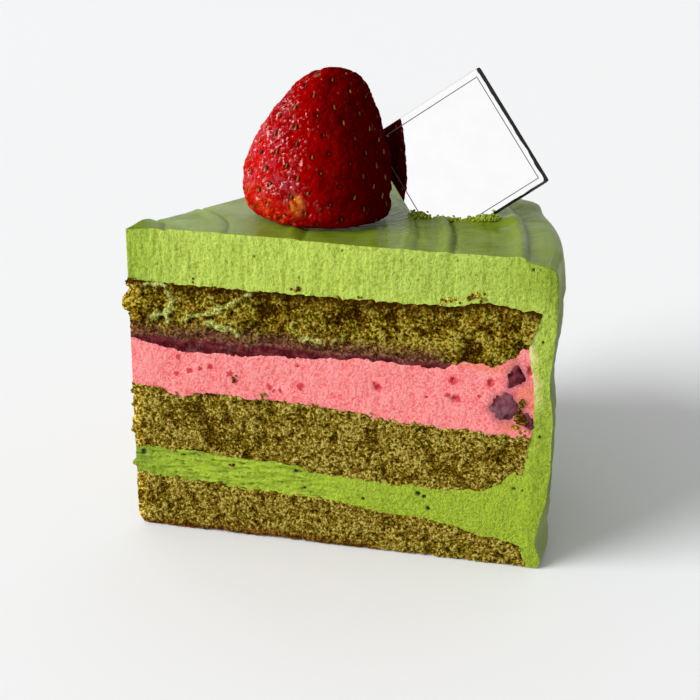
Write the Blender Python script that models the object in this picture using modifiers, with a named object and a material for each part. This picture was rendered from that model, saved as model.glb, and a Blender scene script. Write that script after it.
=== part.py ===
# A sixth of a round layer cake with a strawberry and a square tag card on top.
# From the bottom: sponge, matcha filling, sponge, strawberry mousse, berry jam
# and sponge, coated on the top and the rim with matcha cream.
#
# Units are metres and +Z is up. The front cut looks along -Y, and the origin is
# the middle of the slice's footprint, at floor level. Every part hangs from an
# empty at the cake's centre, which is the slice's tip, so the shapes below are
# given as a radius from the tip, an angle from the front cut and a height.

import math

import bmesh
import bpy
import numpy as np
from mathutils import Vector, noise

MM = 0.001

# Driving dimensions, in millimetres and degrees
SLICE_ANGLE = 60.0
FOOTPRINT_CENTRE = (39.57, 34.44)     # from the tip, in plan
GAP = 0.3                            # between parts that touch

BERRY_PLACE = (32.3, 16.0, 61.8)     # middle of its cut base
# from the middle of the base to the tip, as (radius, height) rings
BERRY_OUTLINE = [(0, 0), (5.2, 0), (10.2, 0), (11.8, 0.55), (13.0, 2.0), (13.9, 4.9), (14.0, 7.8), (13.4, 11.0),
                 (12.2, 14.5), (10.6, 18.3), (8.8, 21.8), (6.9, 24.5), (4.8, 26.4), (2.5, 27.5), (0, 27.9)]
BERRY_DEPTH = 0.82                   # front to back, as a share of its width
BERRY_LEAN = (0.02, 0.0026)          # sideways shift for each unit of height, and of height squared
SEED_COUNT = 72
SEED_BAND = (12.0, 43.0)             # where the seeds are spread, measured along the outline
SEED_SIZE = (0.55, 0.85, 0.42)       # half width, half length, half thickness

CARD_SIDE = 25.4
CARD_THICKNESS = 1.0
CARD_CENTRE = (57.4, 24.9, 71.3)
CARD_TURN = 36.8                     # about its own middle, from standing square
CARD_LEAN = 21.0                     # back from upright
CARD_YAW = -2.0

# Heights along the front cut, as (radius, height) points joined smoothly
UNDERSIDE = [(0, 0), (77, 0)]
BOTTOM_SEAM = [(0, 11.1), (10, 10.4), (25, 9.9), (38, 9.7), (50, 8.1), (60, 7.6), (70, 5.7), (77, 4.4)]
FILLING_SEAM = [(0, 16.8), (10, 16.8), (20, 16.4), (30, 16.0), (40, 14.9), (55, 14.4), (70, 15.1),
                (73, 16.6), (75, 19.2)]
MOUSSE_SEAM = [(0, 29.9), (6, 29.1), (9.5, 27.8), (13, 29.2), (20, 29.1), (40, 28.5), (55, 27.1), (77, 26.9)]
JAM_SEAM = [(0, 39.4), (3, 38.5), (8, 37.7), (15, 37.4), (30, 38.0), (38, 38.5), (44, 39.1), (57, 38.7),
            (62, 39.1)]
SPONGE_SEAM = [(0, 40.4), (30, 40.2), (62, 40.1), (70, 40.5), (73, 41.8), (76, 43.8)]
CREAM_SEAM = [(0, 51.2), (10, 50.8), (25, 50.6), (50, 50.8), (60, 51.0), (69, 52.3), (73, 51.4), (78, 51.1)]
TOP = [(0, 60.7), (7, 61.3), (30, 61.2), (46, 60.8), (73, 60.9), (75.5, 59.9), (77.5, 59.6), (79, 59.0)]

# Radii up the rim, as (height, radius) points joined smoothly
INNER_WALL = [(0, 77.0), (4, 75.6), (12, 74.6), (17, 74.4), (20, 75.4), (26, 76.3), (31, 76.9), (37, 76.6),
              (44, 75.4), (47, 76.0), (51.1, 77.5)]
OUTER_WALL = [(0, 79.2), (1.5, 79.6), (5.4, 78.5), (8, 78.8), (14, 80.0), (20, 80.4), (28, 80.4), (38, 79.5),
              (47, 80.0), (54, 80.2), (58, 79.8)]

# Turntable marks round the top of the cream
RIDGE_RADII = (19.0, 33.0, 46.0, 53.5, 61.0, 73.0)
RIDGE_HEIGHT = 0.3
RIDGE_WIDTH = 1.5
LIP_HEIGHT = 0.9                     # cream dragged up at the rear cut, near the tip
LIP_RADIUS = 7.0
LIP_LENGTH = 3.0
RIM_CORNER = (79.0, 59.0)            # where the rounded rim starts to turn down
RIM_SPREAD = 7.5                     # how far the outside runs ahead of the inside below the corner
SMEAR_DEPTH = 0.25                   # knife marks down the rim
SMEAR_SPACING = 9.0

# The cut faces and seams are sampled at these shares of the inner radius
STATIONS = (0, 0.045, 0.10, 0.16, 0.23, 0.31, 0.38, 0.45, 0.52, 0.59, 0.66, 0.73, 0.80, 0.83, 0.88, 0.92,
            0.96, 1.0)
JAM_STATIONS = 13                    # the jam runs out at the last of these
ANGLE_STEPS = 8
DRIFT = 1.1                          # how far a seam wanders behind the front cut
DRIFT_SPACING = 20.0
RELIEF_SPACING = 4.0                 # size of the lumps on a cut face

# Berry pulp set in the mousse at the rim end: (x, z, half width, half height, depth)
FRUIT_PIECES = {
    "fruit_piece_upper": (73.3, 38.3, 1.5, 1.9, 3.6),
    "fruit_piece_lower": (70.8, 32.6, 2.9, 2.7, 4.6),
    "fruit_piece_small": (75.2, 29.1, 1.0, 1.05, 2.4),
}


def curve_through(points):
    # A smooth curve that never overshoots its points
    spot, value = np.array(points, dtype=float).T
    slope = np.diff(value) / np.diff(spot)
    tangent = np.zeros(len(spot))
    tangent[0] = slope[0]
    tangent[-1] = slope[-1]
    for i in range(1, len(spot) - 1):
        before, after = slope[i - 1], slope[i]
        if before * after > 0:
            tangent[i] = 2 * before * after / (before + after)

    def height(at):
        at = min(max(at, spot[0]), spot[-1])
        i = int(np.clip(np.searchsorted(spot, at) - 1, 0, len(spot) - 2))
        span = spot[i + 1] - spot[i]
        t = (at - spot[i]) / span
        rise = (3 - 2 * t) * t * t
        lean = tangent[i] * (t - 2 * t * t + t ** 3) + tangent[i + 1] * (t ** 3 - t * t)
        return value[i] + (value[i + 1] - value[i]) * rise + span * lean

    return height


inner_wall = curve_through(INNER_WALL)
outer_wall = curve_through(OUTER_WALL)
angles = [math.radians(SLICE_ANGLE) * step / ANGLE_STEPS for step in range(ANGLE_STEPS + 1)]


def drift(radius, angle, seed):
    # How far a seam has wandered from its height at the front cut
    x = radius * math.cos(angle) / DRIFT_SPACING
    y = radius * math.sin(angle) / DRIFT_SPACING
    return DRIFT * (noise.noise(Vector((x, y, seed))) - noise.noise(Vector((radius / DRIFT_SPACING, 0, seed))))


def seam_line(points, seed):
    # The seam as [angle][station] of (radius, height), out to the inner wall
    height = curve_through(points)
    reach = inner_wall(points[-1][1])
    lines = []
    for angle in angles:
        line = []
        for share in STATIONS:
            radius = share * reach
            wander = drift(radius, angle, seed) if seed else 0.0
            line.append((radius, height(radius) + wander))
        lines.append(line)
    return lines


def place(radius, angle, height):
    return Vector((radius * math.cos(angle), radius * math.sin(angle), height))


def roughen_cuts(sections, relief, seed):
    # Push the points of the two cut faces in and out, square to each face
    for angle, out, section in ((angles[0], -1, sections[0]), (angles[-1], 1, sections[-1])):
        normal = Vector((-math.sin(angle), math.cos(angle), 0)) * out
        for row in section[1:]:
            for i, point in enumerate(row):
                where = Vector((point.length / RELIEF_SPACING, point.z / RELIEF_SPACING, seed + out))
                row[i] = point + normal * relief * noise.noise(where)


def lump_the_tip(sections, lumps):
    # Crumbs stand out at the tip: each lump is (height, how far, how tall)
    bisector = Vector((math.cos(angles[-1] / 2), math.sin(angles[-1] / 2), 0))
    for section in sections:
        for i, point in enumerate(section[0]):
            out = sum(far * math.exp(-((point.z - z) / tall) ** 2) for z, far, tall in lumps)
            section[0][i] = point - bisector * out


def skin(name, sections, colour, roughness):
    # A closed loft through [angle][station][level] points. Where a side has no
    # width, as at the tip, its points are welded together.
    mesh_builder = bmesh.new()
    grid = [[[mesh_builder.verts.new(p * MM) for p in row] for row in section] for section in sections]
    last_angle, last_station, last_level = len(grid) - 1, len(grid[0]) - 1, len(grid[0][0]) - 1

    def quads(corner, rows, columns):
        for i in range(rows):
            for j in range(columns):
                mesh_builder.faces.new((corner(i, j), corner(i + 1, j), corner(i + 1, j + 1), corner(i, j + 1)))

    for level in (0, last_level):
        quads(lambda a, s: grid[a][s][level], last_angle, last_station)
    for angle in (0, last_angle):
        quads(lambda s, v: grid[angle][s][v], last_station, last_level)
    for station in (0, last_station):
        quads(lambda a, v: grid[a][station][v], last_angle, last_level)
    bmesh.ops.remove_doubles(mesh_builder, verts=mesh_builder.verts, dist=1e-6)
    bmesh.ops.triangulate(mesh_builder, faces=mesh_builder.faces)
    bmesh.ops.recalc_face_normals(mesh_builder, faces=mesh_builder.faces)
    return finish_object(name, mesh_builder, colour, roughness)


def finish_object(name, mesh_builder, colour, roughness, metallic=0.0):
    mesh = bpy.data.meshes.new(name)
    mesh_builder.to_mesh(mesh)
    mesh_builder.free()
    mesh.shade_smooth()
    mesh.set_sharp_from_angle(angle=math.radians(40))
    finish = bpy.data.materials.new(name)
    finish.use_nodes = True
    shader = finish.node_tree.nodes["Principled BSDF"]
    shader.inputs["Base Color"].default_value = (*colour, 1.0)
    shader.inputs["Roughness"].default_value = roughness
    shader.inputs["Metallic"].default_value = metallic
    mesh.materials.append(finish)
    part = bpy.data.objects.new(name, mesh)
    slice_parts.objects.link(part)
    part.parent = tip
    return part


def make_cutter(name, mesh_builder):
    mesh = bpy.data.meshes.new(name)
    mesh_builder.to_mesh(mesh)
    mesh_builder.free()
    cutter = bpy.data.objects.new(name, mesh)
    cutter.parent = tip
    cutter.hide_render = True
    cutter.display_type = "WIRE"
    cutters.objects.link(cutter)
    return cutter


def cut_with(part, cutter):
    cut = part.modifiers.new(cutter.name, "BOOLEAN")
    cut.operation = "DIFFERENCE"
    cut.solver = "EXACT"
    cut.object = cutter


def make_layer(name, lower, upper, cells, relief, seed, colour, roughness, lumps=(), stations=len(STATIONS)):
    # A wedge between two seams, with its outer end on the inner wall
    sections = []
    for angle, low_line, high_line in zip(angles, lower, upper):
        section = []
        for share, (low_r, low_z), (high_r, high_z) in list(zip(STATIONS, low_line, high_line))[:stations]:
            floor = low_z + (GAP / 2 if low_z > 0 else 0.0)
            roof = high_z - GAP / 2
            column = [place(low_r, angle, floor)]
            for level in range(1, cells):
                z = floor + (roof - floor) * level / cells
                column.append(place(share * inner_wall(z), angle, z))
            column.append(place(high_r, angle, roof))
            section.append(column)
        sections.append(section)
    roughen_cuts(sections, relief, seed)
    lump_the_tip(sections, lumps)
    return skin(name, sections, colour, roughness)


def top_height(radius, angle):
    ridges = sum(math.exp(-((radius - mark) / RIDGE_WIDTH) ** 2) for mark in RIDGE_RADII)
    near_rear = max(0.0, 1 - (angles[-1] - angle) / angles[2])
    lip = LIP_HEIGHT * near_rear * math.exp(-((radius - LIP_RADIUS) / LIP_LENGTH) ** 2)
    return curve_through(TOP)(radius) + RIDGE_HEIGHT * ridges + lip + 0.3 * drift(radius, angle, 9.5)


def make_cream_coat():
    # The coat's section follows the top sponge outwards, turns the corner and
    # goes down the rim. Each step of that path pairs an inner and an outer point.
    marks = [radius + side for radius in RIDGE_RADII for side in (-RIDGE_WIDTH, 0.0, RIDGE_WIDTH)]
    layer_levels = (("cream", "sponge", 3), ("sponge", "mousse", 3), ("mousse", "filling", 3),
                    ("filling", "bottom", 2), ("bottom", "underside", 3))
    sections = []
    for index, angle in enumerate(angles):
        seam = seams["cream"][index]
        seam_radii, seam_heights = zip(*seam)
        extra = [mark for mark in marks if min(abs(mark - radius) for radius in seam_radii) > 0.5]
        pairs = [((0, seam_heights[0] + GAP / 2), (0, top_height(0, angles[0])))]
        for radius in sorted(seam_radii[1:] + tuple(extra)):
            under = float(np.interp(radius, seam_radii, seam_heights)) + GAP / 2
            pairs.append(((radius, under), (radius, top_height(radius, angle))))
        corner_r, corner_z = seam[-1]
        pairs.append(((corner_r + GAP, corner_z + GAP / 2), RIM_CORNER))
        heights = []
        for above, below, cells in layer_levels:
            high, low = seams[above][index][-1][1], seams[below][index][-1][1]
            heights += [high + (low - high) * step / cells for step in range(1, cells + 1)]
        for z in heights:
            out_z = z + RIM_SPREAD * (z / corner_z) ** 7
            smear = SMEAR_DEPTH * noise.noise(Vector((angle * 6, out_z / SMEAR_SPACING, 4.2)))
            pairs.append(((inner_wall(z) + GAP, z), (outer_wall(out_z) + smear, out_z)))
        section = []
        for (inner_r, inner_z), (outer_r, outer_z) in pairs:
            section.append([place(inner_r + (outer_r - inner_r) * t, angle, inner_z + (outer_z - inner_z) * t)
                            for t in (0, 0.5, 1)])
        sections.append(section)
    roughen_cuts(sections, 0.12, 8)
    return skin("cream_coat", sections, (0.40, 0.52, 0.07), 0.4)


outline_length = np.concatenate([[0], np.cumsum(np.hypot(*np.diff(np.array(BERRY_OUTLINE), axis=0).T))])
outline_radius = curve_through(list(zip(outline_length, [r for r, z in BERRY_OUTLINE])))
outline_height = curve_through(list(zip(outline_length, [z for r, z in BERRY_OUTLINE])))


def berry_point(along, turn, swell=1.0):
    # The skin's point at this way along the outline
    radius, z = outline_radius(along) * swell, outline_height(along)
    lean = BERRY_LEAN[0] * z + BERRY_LEAN[1] * z * z
    return Vector((radius * math.cos(turn) + lean, radius * math.sin(turn) * BERRY_DEPTH, z))


def make_strawberry():
    # A sphere with a ring of points for each point of the outline
    sides, base_rings = 24, 2
    last = len(BERRY_OUTLINE) - 1
    body = bmesh.new()
    bmesh.ops.create_uvsphere(body, u_segments=sides, v_segments=last, radius=1.0)
    for vert in body.verts:
        turn = math.atan2(vert.co.y, vert.co.x)
        ring = round(math.acos(max(-1.0, min(1.0, -vert.co.z))) / math.pi * last)
        swell = 1.0
        if ring > base_rings:        # the rings below lie flat on the cream
            swell += 0.03 * noise.noise(Vector((math.cos(turn), math.sin(turn), outline_length[ring] / 8)))
        vert.co = berry_point(outline_length[ring], turn, swell) * MM
    bmesh.ops.recalc_face_normals(body, faces=body.faces)
    berry = finish_object("strawberry", body, (0.35, 0.01, 0.01), 0.25)
    berry.location = Vector(BERRY_PLACE) * MM

    pips = bpy.data.collections.new("pips")
    bpy.context.scene.collection.children.link(pips)
    golden = math.pi * (3 - math.sqrt(5))
    step = 0.05
    for number in range(SEED_COUNT):
        low, high = SEED_BAND
        way = low + (high - low) * (1 - math.sqrt(1 - (number + 0.5) / SEED_COUNT))
        turn = number * golden
        here = berry_point(way, turn)
        along = berry_point(way + step, turn) - here
        across = berry_point(way, turn + step) - here
        outward = across.cross(along).normalized()
        pip = bmesh.new()
        bmesh.ops.create_icosphere(pip, subdivisions=1, radius=1.0)
        frame = (across.normalized(), outward.cross(across).normalized(), outward)
        for vert in pip.verts:
            vert.co = sum((axis * part * half for axis, part, half in zip(frame, vert.co, SEED_SIZE)), here)
            vert.co *= MM
        mesh = bpy.data.meshes.new("pip")
        pip.to_mesh(mesh)
        pip.free()
        seed = bpy.data.objects.new("pip", mesh)
        seed.parent = tip
        seed.location = berry.location
        pips.objects.link(seed)

    join = berry.modifiers.new("pips", "BOOLEAN")
    join.operation = "UNION"
    join.solver = "EXACT"
    join.operand_type = "COLLECTION"
    join.collection = pips
    bpy.context.view_layer.update()
    joined = bpy.data.meshes.new_from_object(berry.evaluated_get(bpy.context.evaluated_depsgraph_get()))
    berry.modifiers.remove(join)
    berry.data = joined
    for seed in list(pips.objects):
        bpy.data.objects.remove(seed)
    bpy.data.collections.remove(pips)


def card_block(grow):
    block = bmesh.new()
    bmesh.ops.create_cube(block, size=1.0)
    size = Vector((CARD_SIDE + 2 * grow, CARD_THICKNESS + 2 * grow, CARD_SIDE + 2 * grow)) * MM
    bmesh.ops.scale(block, vec=size, verts=block.verts)
    return block


def stand_card(part):
    part.rotation_mode = "YXZ"
    part.rotation_euler = (-math.radians(CARD_LEAN), -math.radians(CARD_TURN), math.radians(CARD_YAW))
    part.location = Vector(CARD_CENTRE) * MM


def make_tag_card(coat):
    card = finish_object("tag_card", card_block(0.0), (0.9, 0.9, 0.9), 0.05, 1.0)
    edge = card.modifiers.new("rounded edge", "BEVEL")
    edge.width = 0.3 * MM
    edge.segments = 2
    stand_card(card)
    slot = make_cutter("card_slot", card_block(GAP))
    stand_card(slot)
    cut_with(coat, slot)


def fruit_lump(spot, grow, flat):
    # An uneven lump, cut off flat where the knife went through it
    x, z, half_width, half_height, depth = spot
    lump = bmesh.new()
    bmesh.ops.create_icosphere(lump, subdivisions=2, radius=1.0)
    for vert in lump.verts:
        swell = 1 + 0.16 * noise.noise(vert.co * 1.7 + Vector((x, 0, z)))
        size = Vector((half_width + grow, depth + grow, half_height + grow))
        vert.co = Vector((x, 0, z)) + Vector([c * s * swell for c, s in zip(vert.co, size)])
        if flat:
            vert.co.y = max(vert.co.y, 0.0)
        vert.co *= MM
    bmesh.ops.recalc_face_normals(lump, faces=lump.faces)
    return lump


def make_fruit_pieces(mousse):
    for name, spot in FRUIT_PIECES.items():
        finish_object(name, fruit_lump(spot, 0.0, True), (0.10, 0.02, 0.03), 0.35)
        cut_with(mousse, make_cutter(name + "_pocket", fruit_lump(spot, GAP, False)))


for old in list(bpy.data.objects):
    bpy.data.objects.remove(old)
slice_parts = bpy.data.collections.new("layer_cake_slice")
cutters = bpy.data.collections.new("cutters")
bpy.context.scene.collection.children.link(slice_parts)
bpy.context.scene.collection.children.link(cutters)
tip = bpy.data.objects.new("cake_centre", None)
tip.location = (-FOOTPRINT_CENTRE[0] * MM, -FOOTPRINT_CENTRE[1] * MM, 0)
slice_parts.objects.link(tip)

# The jam and the sponge above it wander together, so the jam stays as thick
seams = {
    "underside": seam_line(UNDERSIDE, 0),
    "bottom": seam_line(BOTTOM_SEAM, 1.3),
    "filling": seam_line(FILLING_SEAM, 2.6),
    "mousse": seam_line(MOUSSE_SEAM, 3.9),
    "jam": seam_line(JAM_SEAM, 5.2),
    "sponge": seam_line(SPONGE_SEAM, 5.2),
    "cream": seam_line(CREAM_SEAM, 7.8),
}
seams["mousse top"] = [jam[:JAM_STATIONS] + sponge[JAM_STATIONS:]
                       for jam, sponge in zip(seams["jam"], seams["sponge"])]

SPONGE_COLOUR = (0.18, 0.14, 0.02)
make_layer("sponge_bottom", seams["underside"], seams["bottom"], 3, 0.35, 11, SPONGE_COLOUR, 0.9)
make_layer("matcha_filling", seams["bottom"], seams["filling"], 2, 0.15, 12, (0.29, 0.38, 0.04), 0.45,
           lumps=[(13.2, 0.8, 1.0)])
make_layer("sponge_middle", seams["filling"], seams["mousse"], 3, 0.35, 13, SPONGE_COLOUR, 0.9,
           lumps=[(21.3, 1.5, 1.6)])
mousse_layer = make_layer("strawberry_mousse", seams["mousse"], seams["mousse top"], 3, 0.12, 14,
                          (0.90, 0.25, 0.24), 0.5)
make_layer("berry_jam", seams["jam"], seams["sponge"], 1, 0.3, 15, (0.09, 0.02, 0.02), 0.2,
           stations=JAM_STATIONS)
make_layer("sponge_top", seams["sponge"], seams["cream"], 3, 0.4, 16, SPONGE_COLOUR, 0.9,
           lumps=[(45.9, 1.7, 1.8)])
coat_layer = make_cream_coat()
make_fruit_pieces(mousse_layer)
make_strawberry()
make_tag_card(coat_layer)
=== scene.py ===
import math
from functools import partial

import bmesh
import bpy
import numpy as np
from mathutils import Matrix, Vector, noise
from mathutils.kdtree import KDTree


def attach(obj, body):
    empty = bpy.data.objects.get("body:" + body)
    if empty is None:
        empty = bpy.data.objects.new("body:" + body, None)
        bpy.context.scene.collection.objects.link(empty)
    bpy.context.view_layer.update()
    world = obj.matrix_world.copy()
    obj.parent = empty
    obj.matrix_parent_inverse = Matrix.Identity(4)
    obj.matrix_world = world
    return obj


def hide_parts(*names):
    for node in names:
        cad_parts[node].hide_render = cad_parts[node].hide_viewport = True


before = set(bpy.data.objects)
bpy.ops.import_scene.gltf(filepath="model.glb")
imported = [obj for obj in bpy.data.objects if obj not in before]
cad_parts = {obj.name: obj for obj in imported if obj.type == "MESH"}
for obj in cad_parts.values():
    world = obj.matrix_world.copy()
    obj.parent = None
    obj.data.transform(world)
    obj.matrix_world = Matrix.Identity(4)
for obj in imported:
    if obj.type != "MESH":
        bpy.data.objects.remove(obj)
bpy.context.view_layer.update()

# A slice of matcha layer cake with a strawberry and a mirror tag on top.
# Shapes are worked out in millimetres from the slice's tip: x runs along the
# front cut, y into the cake and z up. toWorld moves them to the frame.

mm = 0.001
tipPlace = (-39.57, -34.44, 0.0)
sliceAngle = math.radians(60.0)

# heights along the front cut as (radius, height), from the floor up
seams = {
    "underside": {"points": [(0, 0), (77, 0)], "seed": 0, "ragged": 0.40},
    "bottom": {"points": [(0, 11.1), (10, 10.4), (25, 9.9), (38, 9.7), (50, 8.1), (60, 7.6), (70, 5.7),
                          (77, 4.4)], "seed": 1.3, "ragged": 0.26},
    "filling": {"points": [(0, 16.8), (10, 16.8), (20, 16.4), (30, 16.0), (40, 14.9), (55, 14.4), (70, 15.1),
                           (73, 16.6), (75, 19.2)], "seed": 2.6, "ragged": 0.35},
    "mousse": {"points": [(0, 29.9), (6, 29.1), (9.5, 27.8), (13, 29.2), (20, 29.1), (40, 28.5), (55, 27.1),
                          (77, 26.9)], "seed": 3.9, "ragged": 0.4},
    "jam": {"points": [(0, 39.4), (3, 38.5), (8, 37.7), (15, 37.4), (30, 38.0), (38, 38.5), (44, 39.1),
                       (57, 38.7), (62, 39.1)], "seed": 5.2, "ragged": 0.25},
    "sponge": {"points": [(0, 40.4), (30, 40.2), (62, 40.1), (70, 40.5), (73, 41.8), (76, 43.8)], "seed": 5.2,
               "ragged": 0.4},
    "cream": {"points": [(0, 51.2), (10, 50.8), (25, 50.6), (50, 50.8), (60, 51.0), (69, 52.3), (73, 51.4),
                         (78, 51.1)], "seed": 7.8, "ragged": 0.3},
}
topPoints = [(0, 60.7), (7, 61.3), (30, 61.2), (46, 60.8), (73, 60.9), (75.5, 59.9), (77.5, 59.6), (79, 59.0)]
innerWallPoints = [(0, 77.0), (4, 75.6), (12, 74.6), (17, 74.4), (20, 75.4), (26, 76.3), (31, 76.9),
                   (37, 76.6), (44, 75.4), (47, 76.0), (51.1, 77.5)]
outerWallPoints = [(0, 79.2), (1.5, 79.6), (5.4, 78.5), (8, 78.8), (14, 80.0), (20, 80.4), (28, 80.4),
                   (38, 79.5), (47, 80.0), (54, 80.2), (58, 79.8)]
driftValues = {"size": 1.1, "spacing": 20.0}     # how far a seam wanders behind the front cut
# mesh size on the cut faces, and how far layers bite together
cutValues = {"spacing": 0.27, "overlap": 0.12}


# Shapes and noise

def curveThrough(points):
    # a smooth curve that never overshoots its points
    spot, value = np.array(points, dtype=float).T
    slope = np.diff(value) / np.diff(spot)
    tangent = np.zeros(len(spot))
    tangent[0], tangent[-1] = slope[0], slope[-1]
    for i in range(1, len(spot) - 1):
        if slope[i - 1] * slope[i] > 0:
            tangent[i] = 2 * slope[i - 1] * slope[i] / (slope[i - 1] + slope[i])

    def height(at):
        at = np.clip(at, spot[0], spot[-1])
        i = np.clip(np.searchsorted(spot, at) - 1, 0, len(spot) - 2)
        span = spot[i + 1] - spot[i]
        t = (at - spot[i]) / span
        lean = tangent[i] * (t - 2 * t * t + t ** 3) + tangent[i + 1] * (t ** 3 - t * t)
        return value[i] + (value[i + 1] - value[i]) * (3 - 2 * t) * t * t + span * lean

    return height


innerWall, outerWall, topLine = map(curveThrough, (innerWallPoints, outerWallPoints, topPoints))


def hashed(cells, seed):
    # a repeatable number from 0 to 1 for each whole-numbered cell
    mask = np.uint64(0xFFFFFFFF)
    x, y, z = np.moveaxis(cells.astype(np.uint64), -1, 0)
    n = x * np.uint64(374761393) + y * np.uint64(668265263) + z * np.uint64(2246822519)
    n = (n + np.uint64(seed * 3266489917)) & mask
    n = ((n ^ (n >> np.uint64(15))) * np.uint64(2246822519)) & mask
    n = ((n ^ (n >> np.uint64(13))) * np.uint64(3266489917)) & mask
    return (n ^ (n >> np.uint64(16))).astype(float) / 4294967295.0


def softNoise(points, size, seed=1):
    # smooth noise from -1 to 1 with features about size across
    q = points / np.array(size, dtype=float) + 500.5
    base = np.floor(q).astype(np.int64)
    f = q - base
    f = f * f * (3 - 2 * f)
    total = 0.0
    for corner in np.ndindex(2, 2, 2):
        weight = np.abs(1 - np.array(corner) - f)
        weight = weight[..., 0] * weight[..., 1] * weight[..., 2]
        total = total + weight * hashed(base + np.array(corner), seed)
    return total * 2 - 1


def cellNoise(points, size, seed=1):
    # distances to the nearest and the second nearest cell centre, and the nearest cell's own number
    q = points / np.array(size, dtype=float) + 500.5
    base = np.floor(q).astype(np.int64)
    nearest, second, own = np.full((3, *q.shape[:-1]), 9.0)
    for step in np.ndindex(3, 3, 3):
        cell = base + np.array(step) - 1
        centre = cell + np.stack([hashed(cell, seed + i) for i in range(3)], axis=-1)
        distance = np.sqrt(((centre - q) ** 2).sum(axis=-1))
        closer = distance < nearest
        second = np.where(closer, nearest, np.minimum(second, distance))
        own = np.where(closer, hashed(cell, seed + 3), own)
        nearest = np.where(closer, distance, nearest)
    return nearest, second, own


def spotsAt(x, y, z):
    return np.stack(np.broadcast_arrays(x, y, z), axis=-1).astype(float)


def smoothStep(low, high, value):
    t = np.clip((value - low) / (high - low), 0, 1)
    return t * t * (3 - 2 * t)


def bump(value, centre, width):
    return np.exp(-((value - centre) / width) ** 2)


def driftOf(radius, angle, seed):
    # the same wander behind the front cut as the solids have
    if not seed:
        return np.zeros(np.broadcast(radius, angle).shape)
    spacing = driftValues["spacing"]

    def one(r, a):
        here = noise.noise(Vector((r * math.cos(a) / spacing, r * math.sin(a) / spacing, seed)))
        return here - noise.noise(Vector((r / spacing, 0, seed)))

    return driftValues["size"] * np.vectorize(one, otypes=[float])(radius, angle)


def seamHeight(name, radius, angle):
    # a seam's height, with the small ragged steps that the two layers there share
    seam = seams[name]
    where = spotsAt(radius, angle * 40, 3.0)
    ragged = 0.8 * softNoise(where, 2.2, 21) + softNoise(where, 0.9, 22) + 0.7 * softNoise(where, 0.5, 23)
    height = curveThrough(seam["points"])(radius) + driftOf(radius, angle, seam["seed"])
    return height + seam["ragged"] * ragged


def seamBetween(first, second, start, end, radius, angle):
    # one seam that runs into another between two radii
    share = smoothStep(start, end, radius)
    return seamHeight(first, radius, angle) * (1 - share) + seamHeight(second, radius, angle) * share


def toWorld(points):
    return (np.asarray(points, dtype=float) + tipPlace) * mm


def makePiece(name, points, faces, material, replaces=(), values=None):
    mesh = bpy.data.meshes.new(name)
    mesh.from_pydata(toWorld(points), [], faces)
    mesh.validate()
    for label, numbers in (values or {}).items():
        stored = mesh.attributes.new(label, "FLOAT", "POINT").data
        stored.foreach_set("value", numbers.astype(np.float32).ravel())
    mesh.shade_smooth()
    mesh.set_sharp_from_angle(angle=math.radians(65))
    mesh.materials.append(material)
    piece = bpy.data.objects.new(name, mesh)
    bpy.context.scene.collection.objects.link(piece)
    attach(piece, "root")
    if replaces:
        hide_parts(*replaces)
    return piece


def makeBlock(name, grid, material, node, notes):
    # the skin of a grid of points (angle, station, level), facing out, with a number at each point per note
    index = np.arange(notes["high"].size).reshape(notes["high"].shape)
    sides = ((index[:, :, 0], 1), (index[:, :, -1], -1), (index[0], 1), (index[-1], -1), (index[:, 0, :], -1),
             (index[:, -1, :], 1))
    quads = [np.stack([sheet[:-1, :-1], sheet[1:, :-1], sheet[1:, 1:], sheet[:-1, 1:]], axis=-1)[..., ::way]
             for sheet, way in sides]
    faces = np.concatenate([sheet.reshape(-1, 4) for sheet in quads])
    used = np.unique(faces)
    renumber = np.zeros(index.size, dtype=np.int64)
    renumber[used] = np.arange(len(used))
    values = {label: numbers.reshape(-1)[used] for label, numbers in notes.items()}
    makePiece(name, grid.reshape(-1, 3)[used], renumber[faces], material, (node,), values)


def ringFaces(rings, sides):
    # faces over closed rings of points, shut by the two points after them
    index = np.arange(rings * sides).reshape(rings, sides)
    after = np.roll(index, -1, axis=1)
    quads = np.stack([index[:-1], after[:-1], after[1:], index[1:]], axis=-1).reshape(-1, 4)
    faces = [tuple(face) for face in quads]
    faces += [(rings * sides, after[0, i], index[0, i]) for i in range(sides)]
    return faces + [(rings * sides + 1, index[-1, i], after[-1, i]) for i in range(sides)]


def icosphere(subdivisions):
    builder = bmesh.new()
    bmesh.ops.create_icosphere(builder, subdivisions=subdivisions, radius=1.0)
    ball = np.array([vert.co for vert in builder.verts])
    faces = np.array([[vert.index for vert in face.verts] for face in builder.faces])
    builder.free()
    return ball, faces


def stepsBetween(low, high, spacing):
    return np.linspace(low, high, max(2, int(round((high - low) / spacing)) + 1))


def pushCuts(grid, relief):
    # move the points of the two cut faces out by the relief, which fades at the tip
    for side, angle, out in ((0, 0.0, -1), (-1, sliceAngle, 1)):
        normal = np.array([-math.sin(angle), math.cos(angle), 0]) * out
        radius = np.hypot(grid[side, ..., 0], grid[side, ..., 1])
        grid[side] += normal * (relief[side] * smoothStep(0.0, 1.5, radius))[..., None]


def cutCoordinates(radius, height, side):
    return spotsAt(radius, 60.0 * abs(side) + 7.0, height)


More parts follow.
